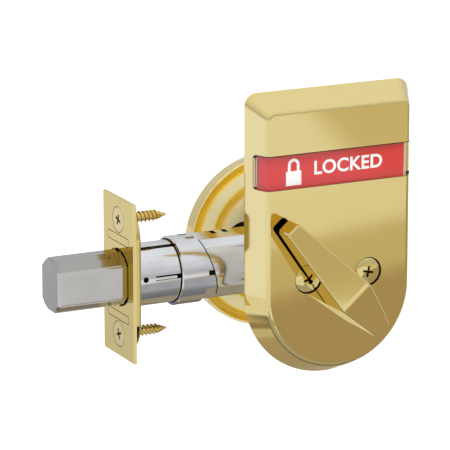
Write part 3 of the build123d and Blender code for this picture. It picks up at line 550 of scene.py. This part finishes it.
def rose_material(name):
    """Polished brass outside; on the door side satin brass, with a painted deep gold reflection in the two
    channels.
    """
    looks = bpy.context.scene.deadbolt_finishes
    shader, place = new_material(name)
    radius = vector_node("LENGTH", vector_node("MULTIPLY", place, (1, 0, 1)))
    inner = product(math_node("LESS_THAN", separated(place)[1], ROSE_DOOR_SIDE),
                    math_node("LESS_THAN", radius, ROSE_RIM))
    channel_reflection = 0.0
    for middle, floor, edge in ROSE_CHANNELS:
        away = math_node("ABSOLUTE", math_node("SUBTRACT", radius, middle * MM))
        channel_reflection = math_node("MAXIMUM", channel_reflection, smooth_mask(away, edge * MM, floor * MM))
    grain = use_group("Grain", place, Scale=700.0, Color=looks.satin_brass, Drift=0.12)
    # Painted reflection in the channels over the satin door side.
    raw = mixed(channel_reflection, grain["Color"], looks.painted_channel_gold)
    feed(shader, {"Base Color": mixed(inner, looks.brass, raw)})
    for label, street, door in (("Metallic", 1.0, 0.1), ("Roughness", looks.brass_roughness, 0.4),
                                ("Coat Weight", 1.0, 0.0)):
        feed(shader, {label: remapped(inner, low=street, high=door)})
    bump(shader, grain["Height"], 0.03, 0.02 * MM)


def lens_material(name):
    """Clear moulded lens that lets light fall on the band behind it."""
    shader, place = new_material(name)
    polish = use_group("Polish", place, Low=0.0, High=0.015)
    feed(shader, {"Base Color": (0.98, 0.985, 0.985), "Transmission Weight": 1.0, "IOR": 1.45,
                  "Specular IOR Level": 0.12, "Roughness": polish["Roughness"]})
    rays = add_node("LightPath", tree=shader.id_data).outputs
    lit = math_node("MAXIMUM", rays["Is Shadow Ray"], rays["Is Diffuse Ray"])
    clear = add_node("BsdfTransparent", tree=shader.id_data).outputs["BSDF"]
    show(mixed_shaders(lit, shader.outputs["BSDF"], clear))


def floor_glow(place, twice):
    """Painted reflections: tones that the floor shows only to reflections, in metres on the floor."""
    ahead, across, beside, sideways = (vector_node("DOT_PRODUCT", place, way) for way in
                                       (WAY_AHEAD, WAY_ACROSS, WAY_BESIDE, WAY_SIDEWAYS))
    color = tone_ramp(product(ahead, AHEAD_SCALE), AHEAD_TONES)
    rear = tone_ramp(product(ahead, -1.0), REAR_TONES)
    color = mixed(smooth_mask(ahead, 0.0, -0.30), color, rear)
    reflection_patch = product(smooth_mask(across, 0.60, 0.70), smooth_mask(ahead, 0.60, 0.64))
    color = mixed(reflection_patch, color, REFLECTION_PATCH_TONE)
    wall = tone_ramp(math_node("ADD", sideways, 0.5), WALL_TONES)
    color = mixed(band_mask(ahead, -0.26, -0.22, 0.03, 0.06), color, wall)
    barrel = product(band_mask(ahead, 0.0, 0.02, 0.30, 0.325), smooth_mask(across, 0.33, 0.22))
    color = mixed(barrel, color, tone_ramp(ahead, BARREL_TONES))
    strip = math_node("MAXIMUM", band_mask(ahead, 0.325, 0.345, 0.54, 0.58),
                      smooth_mask(sideways, -0.44, -0.5))
    latch = product(smooth_mask(beside, 0.118, 0.132), strip)
    color = mixed(latch, color, LATCH_TONE)
    flank = product(latch, smooth_mask(sideways, -0.9, -1.2), smooth_mask(ahead, 0.25, 0.18))
    color = mixed(flank, color, FLANK_TONE)
    left = product(smooth_mask(beside, 0.82, 0.86), band_mask(ahead, 0.10, 0.16, 0.70, 0.76))
    color = mixed(left, color, LEFT_TONE)
    color = mixed(product(left, smooth_mask(ahead, 0.46, 0.53)), color, BLUE_TONE)
    return mixed(twice, color, tone_ramp(beside, SECOND_TONES))


def floor_material(name):
    """Pale floor: white to the camera with its shadow; to reflections it glows with painted reflection tones."""
    shader, place = new_material(name)
    feed(shader, {"Base Color": (0.82, 0.82, 0.82), "Roughness": 0.9, "Specular IOR Level": 0.0})
    rays = add_node("LightPath", tree=shader.id_data).outputs
    twice = math_node("GREATER_THAN", rays["Glossy Depth"], 1.5)
    # The floor glows only for glossy rays, painting reflections on the polished metal.
    glow = add_node("Emission", {"Color": floor_glow(place, twice)}).outputs["Emission"]
    white = add_node("Emission", {"Strength": 0.35}, shader.id_data).outputs["Emission"]
    plain = shader.outputs["BSDF"]
    lit = add_node("AddShader", {0: plain, 1: white}).outputs["Shader"]
    seen = mixed_shaders(rays["Is Camera Ray"], plain, lit)
    show(mixed_shaders(rays["Is Glossy Ray"], seen, glow))


# Each finish's maker and what it takes after the name
FINISHES = {
    "Polished Brass": (brass_material,),
    "Screw Brass": (brass_material,),
    "Escutcheon Brass": (brass_material, ESCUTCHEON_LINES),
    "Faceplate Brass": (brass_material, FACEPLATE_LINES, 0.15),
    "Backing Cup Brass": (brass_material, CUP_LINES, 0.15, 0.86),
    "Lever Brass": (lever_material,),
    "Rose Brass": (rose_material,),
    "Cylinder Brass": (housing_material,),
    "Satin Brass": (grained_material, "satin_brass", 0.4, 0.1, 700.0, 0.03),
    "Shaded Recess": (recess_material,),
    **{name: (zinc_material, shades) for name, shades in ZINC_SHADES.items()},
    "Cast Zinc": (grained_material, (0.62, 0.62, 0.61), 0.42, 1.0),
    "Satin Nickel": (satin_material,),
    "Pressed Steel": (steel_material, 1.0, 0.32),
    "Hardened Steel": (steel_material, 0.5, 0.4),
    "Plated Steel": (grained_material, (0.80, 0.79, 0.76), 0.45),
    "Red Band": (grained_material, "red", 0.35, 0.0, 900.0, 0.03, 0.15),
    "Green Band": (grained_material, "green", 0.35, 0.0, 900.0, 0.03, 0.15),
    "Moulded Acetal": (grained_material, (0.72, 0.71, 0.68), 0.5),
    "White Ink": (grained_material, (0.85, 0.85, 0.84), 0.4),
    "Clear Lens": (lens_material,),
    "Studio Floor": (floor_material,),
}
METAL_NODES = {
    "key_plug": "Polished Brass", "escutcheon": "Escutcheon Brass", "faceplate": "Faceplate Brass",
    "backing_cup": "Backing Cup Brass", "thumbturn": "Lever Brass", "rose": "Rose Brass",
    "cylinder_housing": "Cylinder Brass", "centring_disc": "Satin Brass", "barrel": "Barrel Zinc",
    "backset_collar": "Backset Collar Zinc", "rear_case": "Rear Case Zinc", "spindle": "Cast Zinc",
    "bolt_head": "Satin Nickel", "back_plate": "Plated Steel",
    **dict.fromkeys(("hub_plate_room", "hub_plate_street", "case_rivets", "bolt_tail", "drive_blade"),
                    "Pressed Steel"),
    **dict.fromkeys(("hardened_roller", "tail_pin", "crank", "spindle_clip", "spring_washer", "plug_clip"),
                    "Hardened Steel"),
}
PLASTIC_NODES = {"locked_panel": "Red Band", "unlocked_panel": "Green Band", "window_lens": "Clear Lens",
                 "indicator_carriage": "Moulded Acetal", "indicator_arm": "Moulded Acetal"}


def paint(piece, name):
    """Give a piece one finish, made the first time."""
    if name not in bpy.data.materials:
        maker, *values = FINISHES[name]
        maker(name, *values)
    piece.data.materials.clear()
    piece.data.materials.append(bpy.data.materials[name])
    return piece


def paint_nodes(table):
    """Give CAD nodes their finishes."""
    for node, name in table.items():
        paint(NODES[node], name)


# Modelling

def deselect():
    """Nothing is selected, so that an operator acts only on what is picked next."""
    for item in bpy.context.selected_objects:
        item.select_set(False)


def pick(piece):
    """Make one object the only selected one and the active one."""
    deselect()
    piece.select_set(True)
    bpy.context.view_layer.objects.active = piece


def edit(piece):
    """Start edit mode on one piece with all of it selected."""
    pick(piece)
    bpy.ops.object.mode_set(mode="EDIT")
    bpy.ops.mesh.select_all(action="SELECT")


def leave_edit():
    """Go back to object mode."""
    bpy.ops.object.mode_set(mode="OBJECT")


def select_where(piece, kind, test):
    """In edit mode, select only the vertices (VERT) or faces (FACE) that pass a test."""
    leave_edit()
    mesh = piece.data
    for parts in (mesh.vertices, mesh.edges, mesh.polygons):
        parts.foreach_set("select", [False] * len(parts))
    for part in mesh.vertices if kind == "VERT" else mesh.polygons:
        part.select = test(part)
    bpy.ops.object.mode_set(mode="EDIT")
    bpy.ops.mesh.select_mode(type=kind)


def settle(piece, name):
    """Name a piece and move its place into its mesh."""
    pick(piece)
    piece.name = name
    piece.data.name = name
    bpy.ops.object.transform_apply(location=True, rotation=True, scale=True)
    return piece


def placed(piece, name, turn, place=(0, 0, 0)):
    """Turn a piece by degrees, move it and settle it there."""
    piece.rotation_euler = [math.radians(angle) for angle in turn]
    piece.location = place
    return settle(piece, name)


def apply_modifier(piece, kind, **values):
    """Add a modifier with the given values and apply it."""
    pick(piece)
    modifier = piece.modifiers.new(kind.title(), kind)
    for key, value in values.items():
        setattr(modifier, key, value)
    bpy.ops.object.modifier_apply(modifier=modifier.name)
    return piece


def cut(piece, tool, operation="DIFFERENCE", **values):
    """Cut a piece with a tool, or join the two, and remove the tool."""
    apply_modifier(piece, "BOOLEAN", object=tool, operation=operation, solver="EXACT", **values)
    bpy.data.objects.remove(tool)
    return piece


def outward(piece):
    """Close doubles and point every face outwards."""
    edit(piece)
    bpy.ops.mesh.remove_doubles(threshold=WELD)
    bpy.ops.mesh.normals_make_consistent(inside=False)
    leave_edit()
    return piece


def joined(pieces, name):
    """Join several objects into the first and give it a name."""
    deselect()
    for piece in pieces:
        piece.select_set(True)
    bpy.context.view_layer.objects.active = pieces[0]
    bpy.ops.object.join()
    return settle(pieces[0], name)


def add_primitive(kind, name, turn=(0, 0, 0), scale=(1, 1, 1), **values):
    """Add a mesh primitive, turned by degrees and scaled, and settle it."""
    deselect()
    getattr(bpy.ops.mesh, "primitive_" + kind + "_add")(**values)
    piece = bpy.context.active_object
    piece.scale = scale
    return placed(piece, name, turn, piece.location.copy())


def softened(node, name, width, angle, finish):
    """Copy of a CAD piece with its flat faces merged and its sharp edges broken, as polishing leaves them."""
    piece = bpy.data.objects.new(name, NODES[node].data.copy())
    bpy.context.scene.collection.objects.link(piece)
    edit(piece)
    bpy.ops.mesh.remove_doubles(threshold=FINE_WELD)
    bpy.ops.mesh.dissolve_limited(angle_limit=math.radians(1))
    leave_edit()
    apply_modifier(piece, "BEVEL", width=width, segments=2, limit_method="ANGLE", angle_limit=math.radians(angle),
                   harden_normals=False)
    piece.data.name = name
    pick(piece)
    bpy.ops.object.shade_smooth_by_angle(angle=math.radians(12))
    apply_modifier(piece, "WEIGHTED_NORMAL", keep_sharp=True)
    return paint(piece, finish)


def turned_body(rings, name, finish, steps=48):
    """Round piece along Y: a disc that is extruded and scaled from ring to ring of (place, radius)."""
    y, radius = rings[0]
    piece = add_primitive("circle", name, (90, 0, 0), vertices=steps, radius=radius, fill_type="NGON",
                          location=(0, y, 0))
    edit(piece)
    for (y0, r0), (y1, r1) in zip(rings, rings[1:]):
        bpy.ops.mesh.extrude_region_move(TRANSFORM_OT_translate={"value": (0, y1 - y0, 0)})
        bpy.ops.transform.resize(value=(r1 / r0, 1, r1 / r0), center_override=(0, y1, 0))
    leave_edit()
    return paint(outward(piece), finish)


def cross_cutter(screws, head_y):
    """Tapered cross that cuts a driver's recess into a head that faces -Y."""
    wings = []
    for turn in (0, 90):
        wing = add_primitive("cube", "wing", (0, turn, 0), size=1, location=(0, head_y, 0),
                             scale=(2 * screws.cross_reach, 2 * screws.cross_depth, screws.cross_width))
        select_where(wing, "FACE", lambda face: face.normal.y > 0.9)
        bpy.ops.transform.resize(value=(CROSS_TAPER, 1, CROSS_TAPER), center_override=(0, head_y, 0))
        leave_edit()
        wings.append(paint(wing, "Shaded Recess"))
    return cut(*wings, operation="UNION")


def screw_body(rings, name, finish, screws, head_y):
    """Turned screw with the driver's cross in its head."""
    return cut(turned_body(rings, name, finish), cross_cutter(screws, head_y), material_mode="TRANSFER")


def thread(name, finish, root, crest, pitch, y0, y1):
    """Helical ridge round the Y axis from y0 to y1, a three-sided ring swept by a screw."""
    half = pitch * THREAD_WIDTH
    ridge = add_primitive("circle", name, (0, 0, -90), vertices=3, radius=1, location=(root, y0, 0),
                          scale=(half, half, 1))
    edit(ridge)
    bpy.ops.transform.resize(value=((crest - root) / half, 1, 1), center_override=(root, y0, 0))
    leave_edit()
    turns = max(int((y1 - y0) / pitch), 1)
    apply_modifier(ridge, "SCREW", axis="Y", angle=math.tau, screw_offset=pitch, iterations=turns, steps=24,
                   render_steps=24)
    edit(ridge)
    bpy.ops.mesh.remove_doubles(threshold=FINE_WELD)
    bpy.ops.mesh.fill_holes(sides=3)
    leave_edit()
    return paint(outward(ridge), finish)


def pointed(piece, start, end, slim, steps=6):
    """Draw a piece along Y to a point: each band past the start is scaled towards the axis."""
    pick(piece)
    last = 1.0
    for step in range(steps):
        y = start + (end - start) * step / steps
        size = 1 - (1 - slim) * (step + 1) / steps
        select_where(piece, "VERT", lambda vertex: vertex.co.y > y)
        bpy.ops.transform.resize(value=(size / last, 1, size / last), center_override=(0, y, 0))
        last = size
    leave_edit()
    return piece


def joined_screws(screws, name):
    """Join finished screws and smooth their round faces."""
    piece = joined(screws, name)
    bpy.ops.object.shade_smooth_by_angle(angle=SCREW_SMOOTH)
    return piece


def letters(word, height, x, z, y, thickness, name):
    """Raised letters that face -Y, with their left edge at x and their middle at z."""
    bpy.ops.object.text_add()
    text = bpy.context.active_object
    for key, value in {"body": word, "size": height / 0.7, "offset": height * 0.032, "extrude": thickness / 2,
                       "space_character": 1.04, "resolution_u": 6}.items():
        setattr(text.data, key, value)
    pick(text)
    bpy.ops.object.convert(target="MESH")
    text = bpy.context.active_object
    left = min(vertex.co.x for vertex in text.data.vertices)
    heights = [vertex.co.y for vertex in text.data.vertices]
    middle = (min(heights) + max(heights)) / 2
    return placed(text, name, (90, 0, 0), (x - left, y - thickness / 2, z - middle))


def padlock(width, x, z, y, thickness, is_open, name):
    """Flat padlock sign: a square body and a round shackle, shut or swung up."""
    tall = width * 0.86
    top = z + tall * 0.11
    bow, bar = width * 0.29, width * 0.17
    lift = tall * 0.3 if is_open else 0.0
    centre = (x, y - thickness / 2, top + tall * 0.44 + lift)
    body = add_primitive("cube", "padlock body", size=1, location=(x, y - thickness / 2, top - tall / 2),
                         scale=(width, thickness, tall))
    apply_modifier(body, "BEVEL", width=width * 0.05, segments=2, limit_method="ANGLE")
    shackle, hole = (add_primitive("cylinder", label, (90, 0, 0), vertices=40, radius=radius, depth=depth,
                                   location=centre)
                     for label, radius, depth in (("shackle", bow + bar / 2, thickness),
                                                  ("shackle hole", bow - bar / 2, thickness * 3)))
    edit(cut(shackle, hole))
    bpy.ops.mesh.bisect(plane_co=centre, plane_no=(0, 0, 1), use_fill=True, clear_inner=True)
    for side in (-1, 1):
        select_where(shackle, "FACE", lambda face: face.normal.z < -0.9 and (face.center.x - x) * side > 0
                     and abs(face.center.z - centre[2]) < bar * 0.1)
        down = centre[2] - top if side < 0 or not is_open else tall * 0.12
        bpy.ops.mesh.extrude_region_move(TRANSFORM_OT_translate={"value": (0, 0, -down)})
    leave_edit()
    return joined([body, outward(shackle)], name)


class DEADBOLT_OT_metals(bpy.types.Operator):
    """Give every metal piece its finish"""

    bl_idname = "deadbolt.metals"
    bl_label = "Finish the metals"

    def execute(self, context):
        paint_nodes(METAL_NODES)
        return {"FINISHED"}


class DEADBOLT_OT_plastics(bpy.types.Operator):
    """Give the lens, the bands and the carriage their plastics"""

    bl_idname = "deadbolt.plastics"
    bl_label = "Finish the plastics"

    def execute(self, context):
        paint_nodes(PLASTIC_NODES)
        return {"FINISHED"}


class DEADBOLT_OT_lever(bpy.types.Operator):
    """Break the sharp edges of the lever"""

    bl_idname = "deadbolt.lever"
    bl_label = "Lever"

    def execute(self, context):
        piece = softened("thumbturn", "Lever", 0.22 * MM, 15, "Lever Brass")
        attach(piece, "thumbturn_set")
        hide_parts("thumbturn")
        return {"FINISHED"}


class DEADBOLT_OT_bolt_head(bpy.types.Operator):
    """Break the sharp edges of the bolt head"""

    bl_idname = "deadbolt.bolt_head"
    bl_label = "Bolt head"

    def execute(self, context):
        piece = softened("bolt_head", "Bolt_Head", 0.16 * MM, 25, "Satin Nickel")
        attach(piece, "bolt")
        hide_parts("bolt_head")
        return {"FINISHED"}


class DEADBOLT_OT_through_bolts(bpy.types.Operator):
    """Model the two long bolts with domed heads, cross recesses and threaded ends"""

    bl_idname = "deadbolt.through_bolts"
    bl_label = "Through bolts"

    def execute(self, context):
        screws = context.scene.deadbolt_screws
        low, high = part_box("through_bolts")
        head = (high.z - low.z) / 2
        spread = (high.x - low.x) / 2 - head
        shank, core, dome = 2.4 * MM, 2.0 * MM, screws.dome
        start = high.y - 24 * MM
        rings = [(low.y, head * 0.2), (low.y + dome * 0.07, head * 0.4), (low.y + dome * 0.3, head * 0.7),
                 (low.y + dome * 0.7, head * 0.92), (low.y + dome, head), (low.y + dome + 0.5 * MM, head),
                 (low.y + dome + 2.4 * MM, shank), (start, shank), (start + 0.3 * MM, core),
                 (high.y - 0.6 * MM, core), (high.y, core * 0.7)]
        bolts = []
        for side, turn in ((-1, -20), (1, 12)):
            body = screw_body(rings, "bolt body", "Screw Brass", screws, low.y)
            coil = thread("bolt thread", "Screw Brass", core - 0.1 * MM, shank - 0.03 * MM, screws.machine_pitch,
                          start + 0.5 * MM, high.y - 1.6 * MM)
            bolts.append(placed(joined([body, coil], "bolt"), "bolt", (0, turn, 0), (side * spread, 0, 0)))
        piece = joined_screws(bolts, "Through_Bolts")
        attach(piece, "lock_body")
        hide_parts("through_bolts")
        return {"FINISHED"}


class DEADBOLT_OT_wood_screws(bpy.types.Operator):
    """Model the faceplate's countersunk wood screws"""

    bl_idname = "deadbolt.wood_screws"
    bl_label = "Wood screws"

    def execute(self, context):
        screws = context.scene.deadbolt_screws
        low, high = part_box("faceplate_screws")
        head = (high.y - low.y) / 2
        spread = (high.z - low.z) / 2 - head
        length = high.x - low.x
        core, crest, shank, neck = 1.5 * MM, 2.15 * MM, 1.9 * MM, 3.4 * MM
        tip = length - screws.wood_tip
        rings = [(0, head - 0.1 * MM), (0.1 * MM, head), (0.25 * MM, head), (2.3 * MM, shank), (neck, shank),
                 (neck + 0.2 * MM, core), (tip, core), (length - 1.2 * MM, core * 0.45), (length, core * 0.03)]
        made = []
        for side in (-1, 1):
            body = screw_body(rings, "screw body", "Screw Brass", screws, 0)
            coil = thread("screw thread", "Screw Brass", core - 0.15 * MM, crest, screws.wood_pitch,
                          neck + 0.6 * MM, length - 0.9 * MM)
            pointed(coil, tip - 0.6 * MM, length, 0.12)
            screw = placed(joined([body, coil], "screw"), "screw", (0, 20 * side, 0))
            made.append(placed(screw, "screw", (0, 0, -90), (low.x, 0, side * spread)))
        piece = joined_screws(made, "Faceplate_Wood_Screws")
        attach(piece, "lock_body")
        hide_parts("faceplate_screws")
        return {"FINISHED"}


class DEADBOLT_OT_plate_screws(bpy.types.Operator):
    """Model the three small screws of the escutcheon's back plate"""

    bl_idname = "deadbolt.plate_screws"
    bl_label = "Back plate screws"

    def execute(self, context):
        screws = context.scene.deadbolt_screws
        low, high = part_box("back_plate_screws")
        depth = high.y - low.y
        head, shank, rim = 2.3 * MM, 1.25 * MM, 1.1 * MM
        rings = [(0, head * 0.3), (0.12 * MM, head * 0.62), (0.45 * MM, head * 0.9), (0.8 * MM, head),
                 (rim, head), (rim + 0.01 * MM, shank), (depth - 0.5 * MM, shank), (depth, shank * 0.6)]
        made = []
        for x, z, turn in PLATE_SCREWS:
            screw = screw_body(rings, "plate screw", "Pressed Steel", screws, 0)
            placed(screw, "plate screw", (0, turn, 0))
            made.append(placed(screw, "plate screw", (0, 0, 180), (x, high.y, z)))
        piece = joined_screws(made, "Back_Plate_Screws")
        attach(piece, "lock_body")
        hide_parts("back_plate_screws")
        return {"FINISHED"}


class DEADBOLT_OT_signs(bpy.types.Operator):
    """Print a padlock and a word on each band of the indicator"""

    bl_idname = "deadbolt.signs"
    bl_label = "Indicator signs"

    def execute(self, context):
        signs = context.scene.deadbolt_signs
        for node, word, is_open, shift in (("locked_panel", signs.locked_word, False, 0.0),
                                           ("unlocked_panel", signs.unlocked_word, True, -3 * MM)):
            low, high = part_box(node)
            middle = (low.z + high.z) / 2
            name = node.split("_")[0].title()
            words = letters(word, signs.letter_height, signs.word_start + shift, middle + 0.1 * MM, low.y,
                            signs.ink_thickness, name + "_Word")
            lock = padlock(signs.padlock_width, signs.padlock_place + shift / 2, middle - 0.8 * MM, low.y,
                           signs.ink_thickness, is_open, name + "_Padlock")
            for piece in (words, lock):
                paint(piece, "White Ink")
                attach(piece, "indicator")
        return {"FINISHED"}


# Studio

def studio_world():
    """Pale to the camera; for reflections a bright top and a greyer horizon."""
    world = bpy.data.worlds.new("Studio")
    bpy.context.scene.world = world
    world.use_nodes = True
    tree = world.node_tree
    tree.nodes.clear()
    _, y, z = separated(add_node("TexCoord", tree=tree).outputs["Generated"])
    height = remapped(z, start=-1.0)
    color = mixed(smooth_mask(y, 0.1, 0.4), tone_ramp(height, FRONT_SKY),
                  tone_ramp(height, REAR_SKY))
    rays = add_node("LightPath", tree=tree).outputs
    twice = math_node("GREATER_THAN", rays["Glossy Depth"], 1.5)
    sky = add_node("Background", {"Color": mixed(twice, color, SECOND_SKY)}).outputs["Background"]
    pale = add_node("Background", tree=tree).outputs["Background"]
    add_node("OutputWorld", {"Surface": mixed_shaders(rays["Is Camera Ray"], sky, pale)})


def lamp(name, place, size, watts):
    """Soft light that points at the object and isn't mirrored."""
    bpy.ops.object.light_add(type="AREA", location=place)
    light = bpy.context.active_object
    light.name = name
    light.data.shape = "RECTANGLE"
    light.data.size, light.data.size_y = size
    light.data.energy = watts
    light.rotation_euler = (-Vector(place)).to_track_quat("-Z", "Y").to_euler()
    light.visible_glossy = False


class DEADBOLT_OT_studio(bpy.types.Operator):
    """Set the floor, the lamps, the sky and the camera"""

    bl_idname = "deadbolt.studio"
    bl_label = "Studio"

    def execute(self, context):
        studio = context.scene.deadbolt_studio
        floor = add_primitive("grid", "Studio_Floor", x_subdivisions=8, y_subdivisions=8, size=1,
                              scale=(12, 12, 1), location=(0, 0, -studio.floor_drop))
        paint(floor, "Studio Floor")
        studio_world()
        for name, place, size, share in (("Key", (-0.7, -0.9, 1.1), (0.9, 0.9), 1.0),
                                         ("Fill", (0.9, -0.8, 0.5), (0.8, 0.8), 0.45),
                                         ("Back", (-0.45, 0.8, 0.8), (0.8, 0.6), 0.9)):
            lamp(name, place, size, studio.key_watts * share)
        bpy.ops.object.camera_add()
        camera = context.active_object
        camera.name = "Camera"
        camera.data.sensor_width = 36.0
        camera.data.lens = studio.camera_lens
        camera.data.clip_start, camera.data.clip_end = 0.05, 50
        azimuth, pitch = studio.camera_azimuth, studio.camera_pitch
        level = math.cos(pitch)
        ahead = Vector((math.sin(azimuth) * level, math.cos(azimuth) * level, -math.sin(pitch)))
        camera.location = studio.camera_place
        camera.rotation_euler = ahead.to_track_quat("-Z", "Y").to_euler()
        context.scene.camera = camera
        context.scene.view_settings.view_transform = "Standard"
        return {"FINISHED"}


class DEADBOLT_PT_panel(bpy.types.Panel):
    """Lists the steps that dress the deadbolt"""

    bl_label = "Deadbolt"
    bl_idname = "DEADBOLT_PT_panel"
    bl_space_type = "VIEW_3D"
    bl_region_type = "UI"
    bl_category = "Deadbolt"

    def draw(self, context):
        for step in STEPS:
            self.layout.operator(step.bl_idname)


STEPS = (DEADBOLT_OT_metals, DEADBOLT_OT_plastics, DEADBOLT_OT_lever, DEADBOLT_OT_bolt_head,
         DEADBOLT_OT_through_bolts, DEADBOLT_OT_wood_screws, DEADBOLT_OT_plate_screws, DEADBOLT_OT_signs,
         DEADBOLT_OT_studio)
GROUPS = (("deadbolt_finishes", DeadboltFinishes), ("deadbolt_screws", DeadboltScrews),
          ("deadbolt_signs", DeadboltSigns), ("deadbolt_studio", DeadboltStudio))


def register():
    """Register the settings, the steps and the panel."""
    for name, group in GROUPS:
        bpy.utils.register_class(group)
        setattr(bpy.types.Scene, name, PointerProperty(type=group))
    for step in STEPS:
        bpy.utils.register_class(step)
    bpy.utils.register_class(DEADBOLT_PT_panel)


def unregister():
    """Undo register."""
    bpy.utils.unregister_class(DEADBOLT_PT_panel)
    for step in reversed(STEPS):
        bpy.utils.unregister_class(step)
    for name, group in reversed(GROUPS):
        delattr(bpy.types.Scene, name)
        bpy.utils.unregister_class(group)


def main():
    """Dress the deadbolt step by step."""
    register()
    bpy.ops.deadbolt.metals()
    bpy.ops.deadbolt.plastics()
    bpy.ops.deadbolt.lever()
    bpy.ops.deadbolt.bolt_head()
    bpy.ops.deadbolt.through_bolts()
    bpy.ops.deadbolt.wood_screws()
    bpy.ops.deadbolt.plate_screws()
    bpy.ops.deadbolt.signs()
    bpy.ops.deadbolt.studio()


if __name__ == "__main__":
    main()
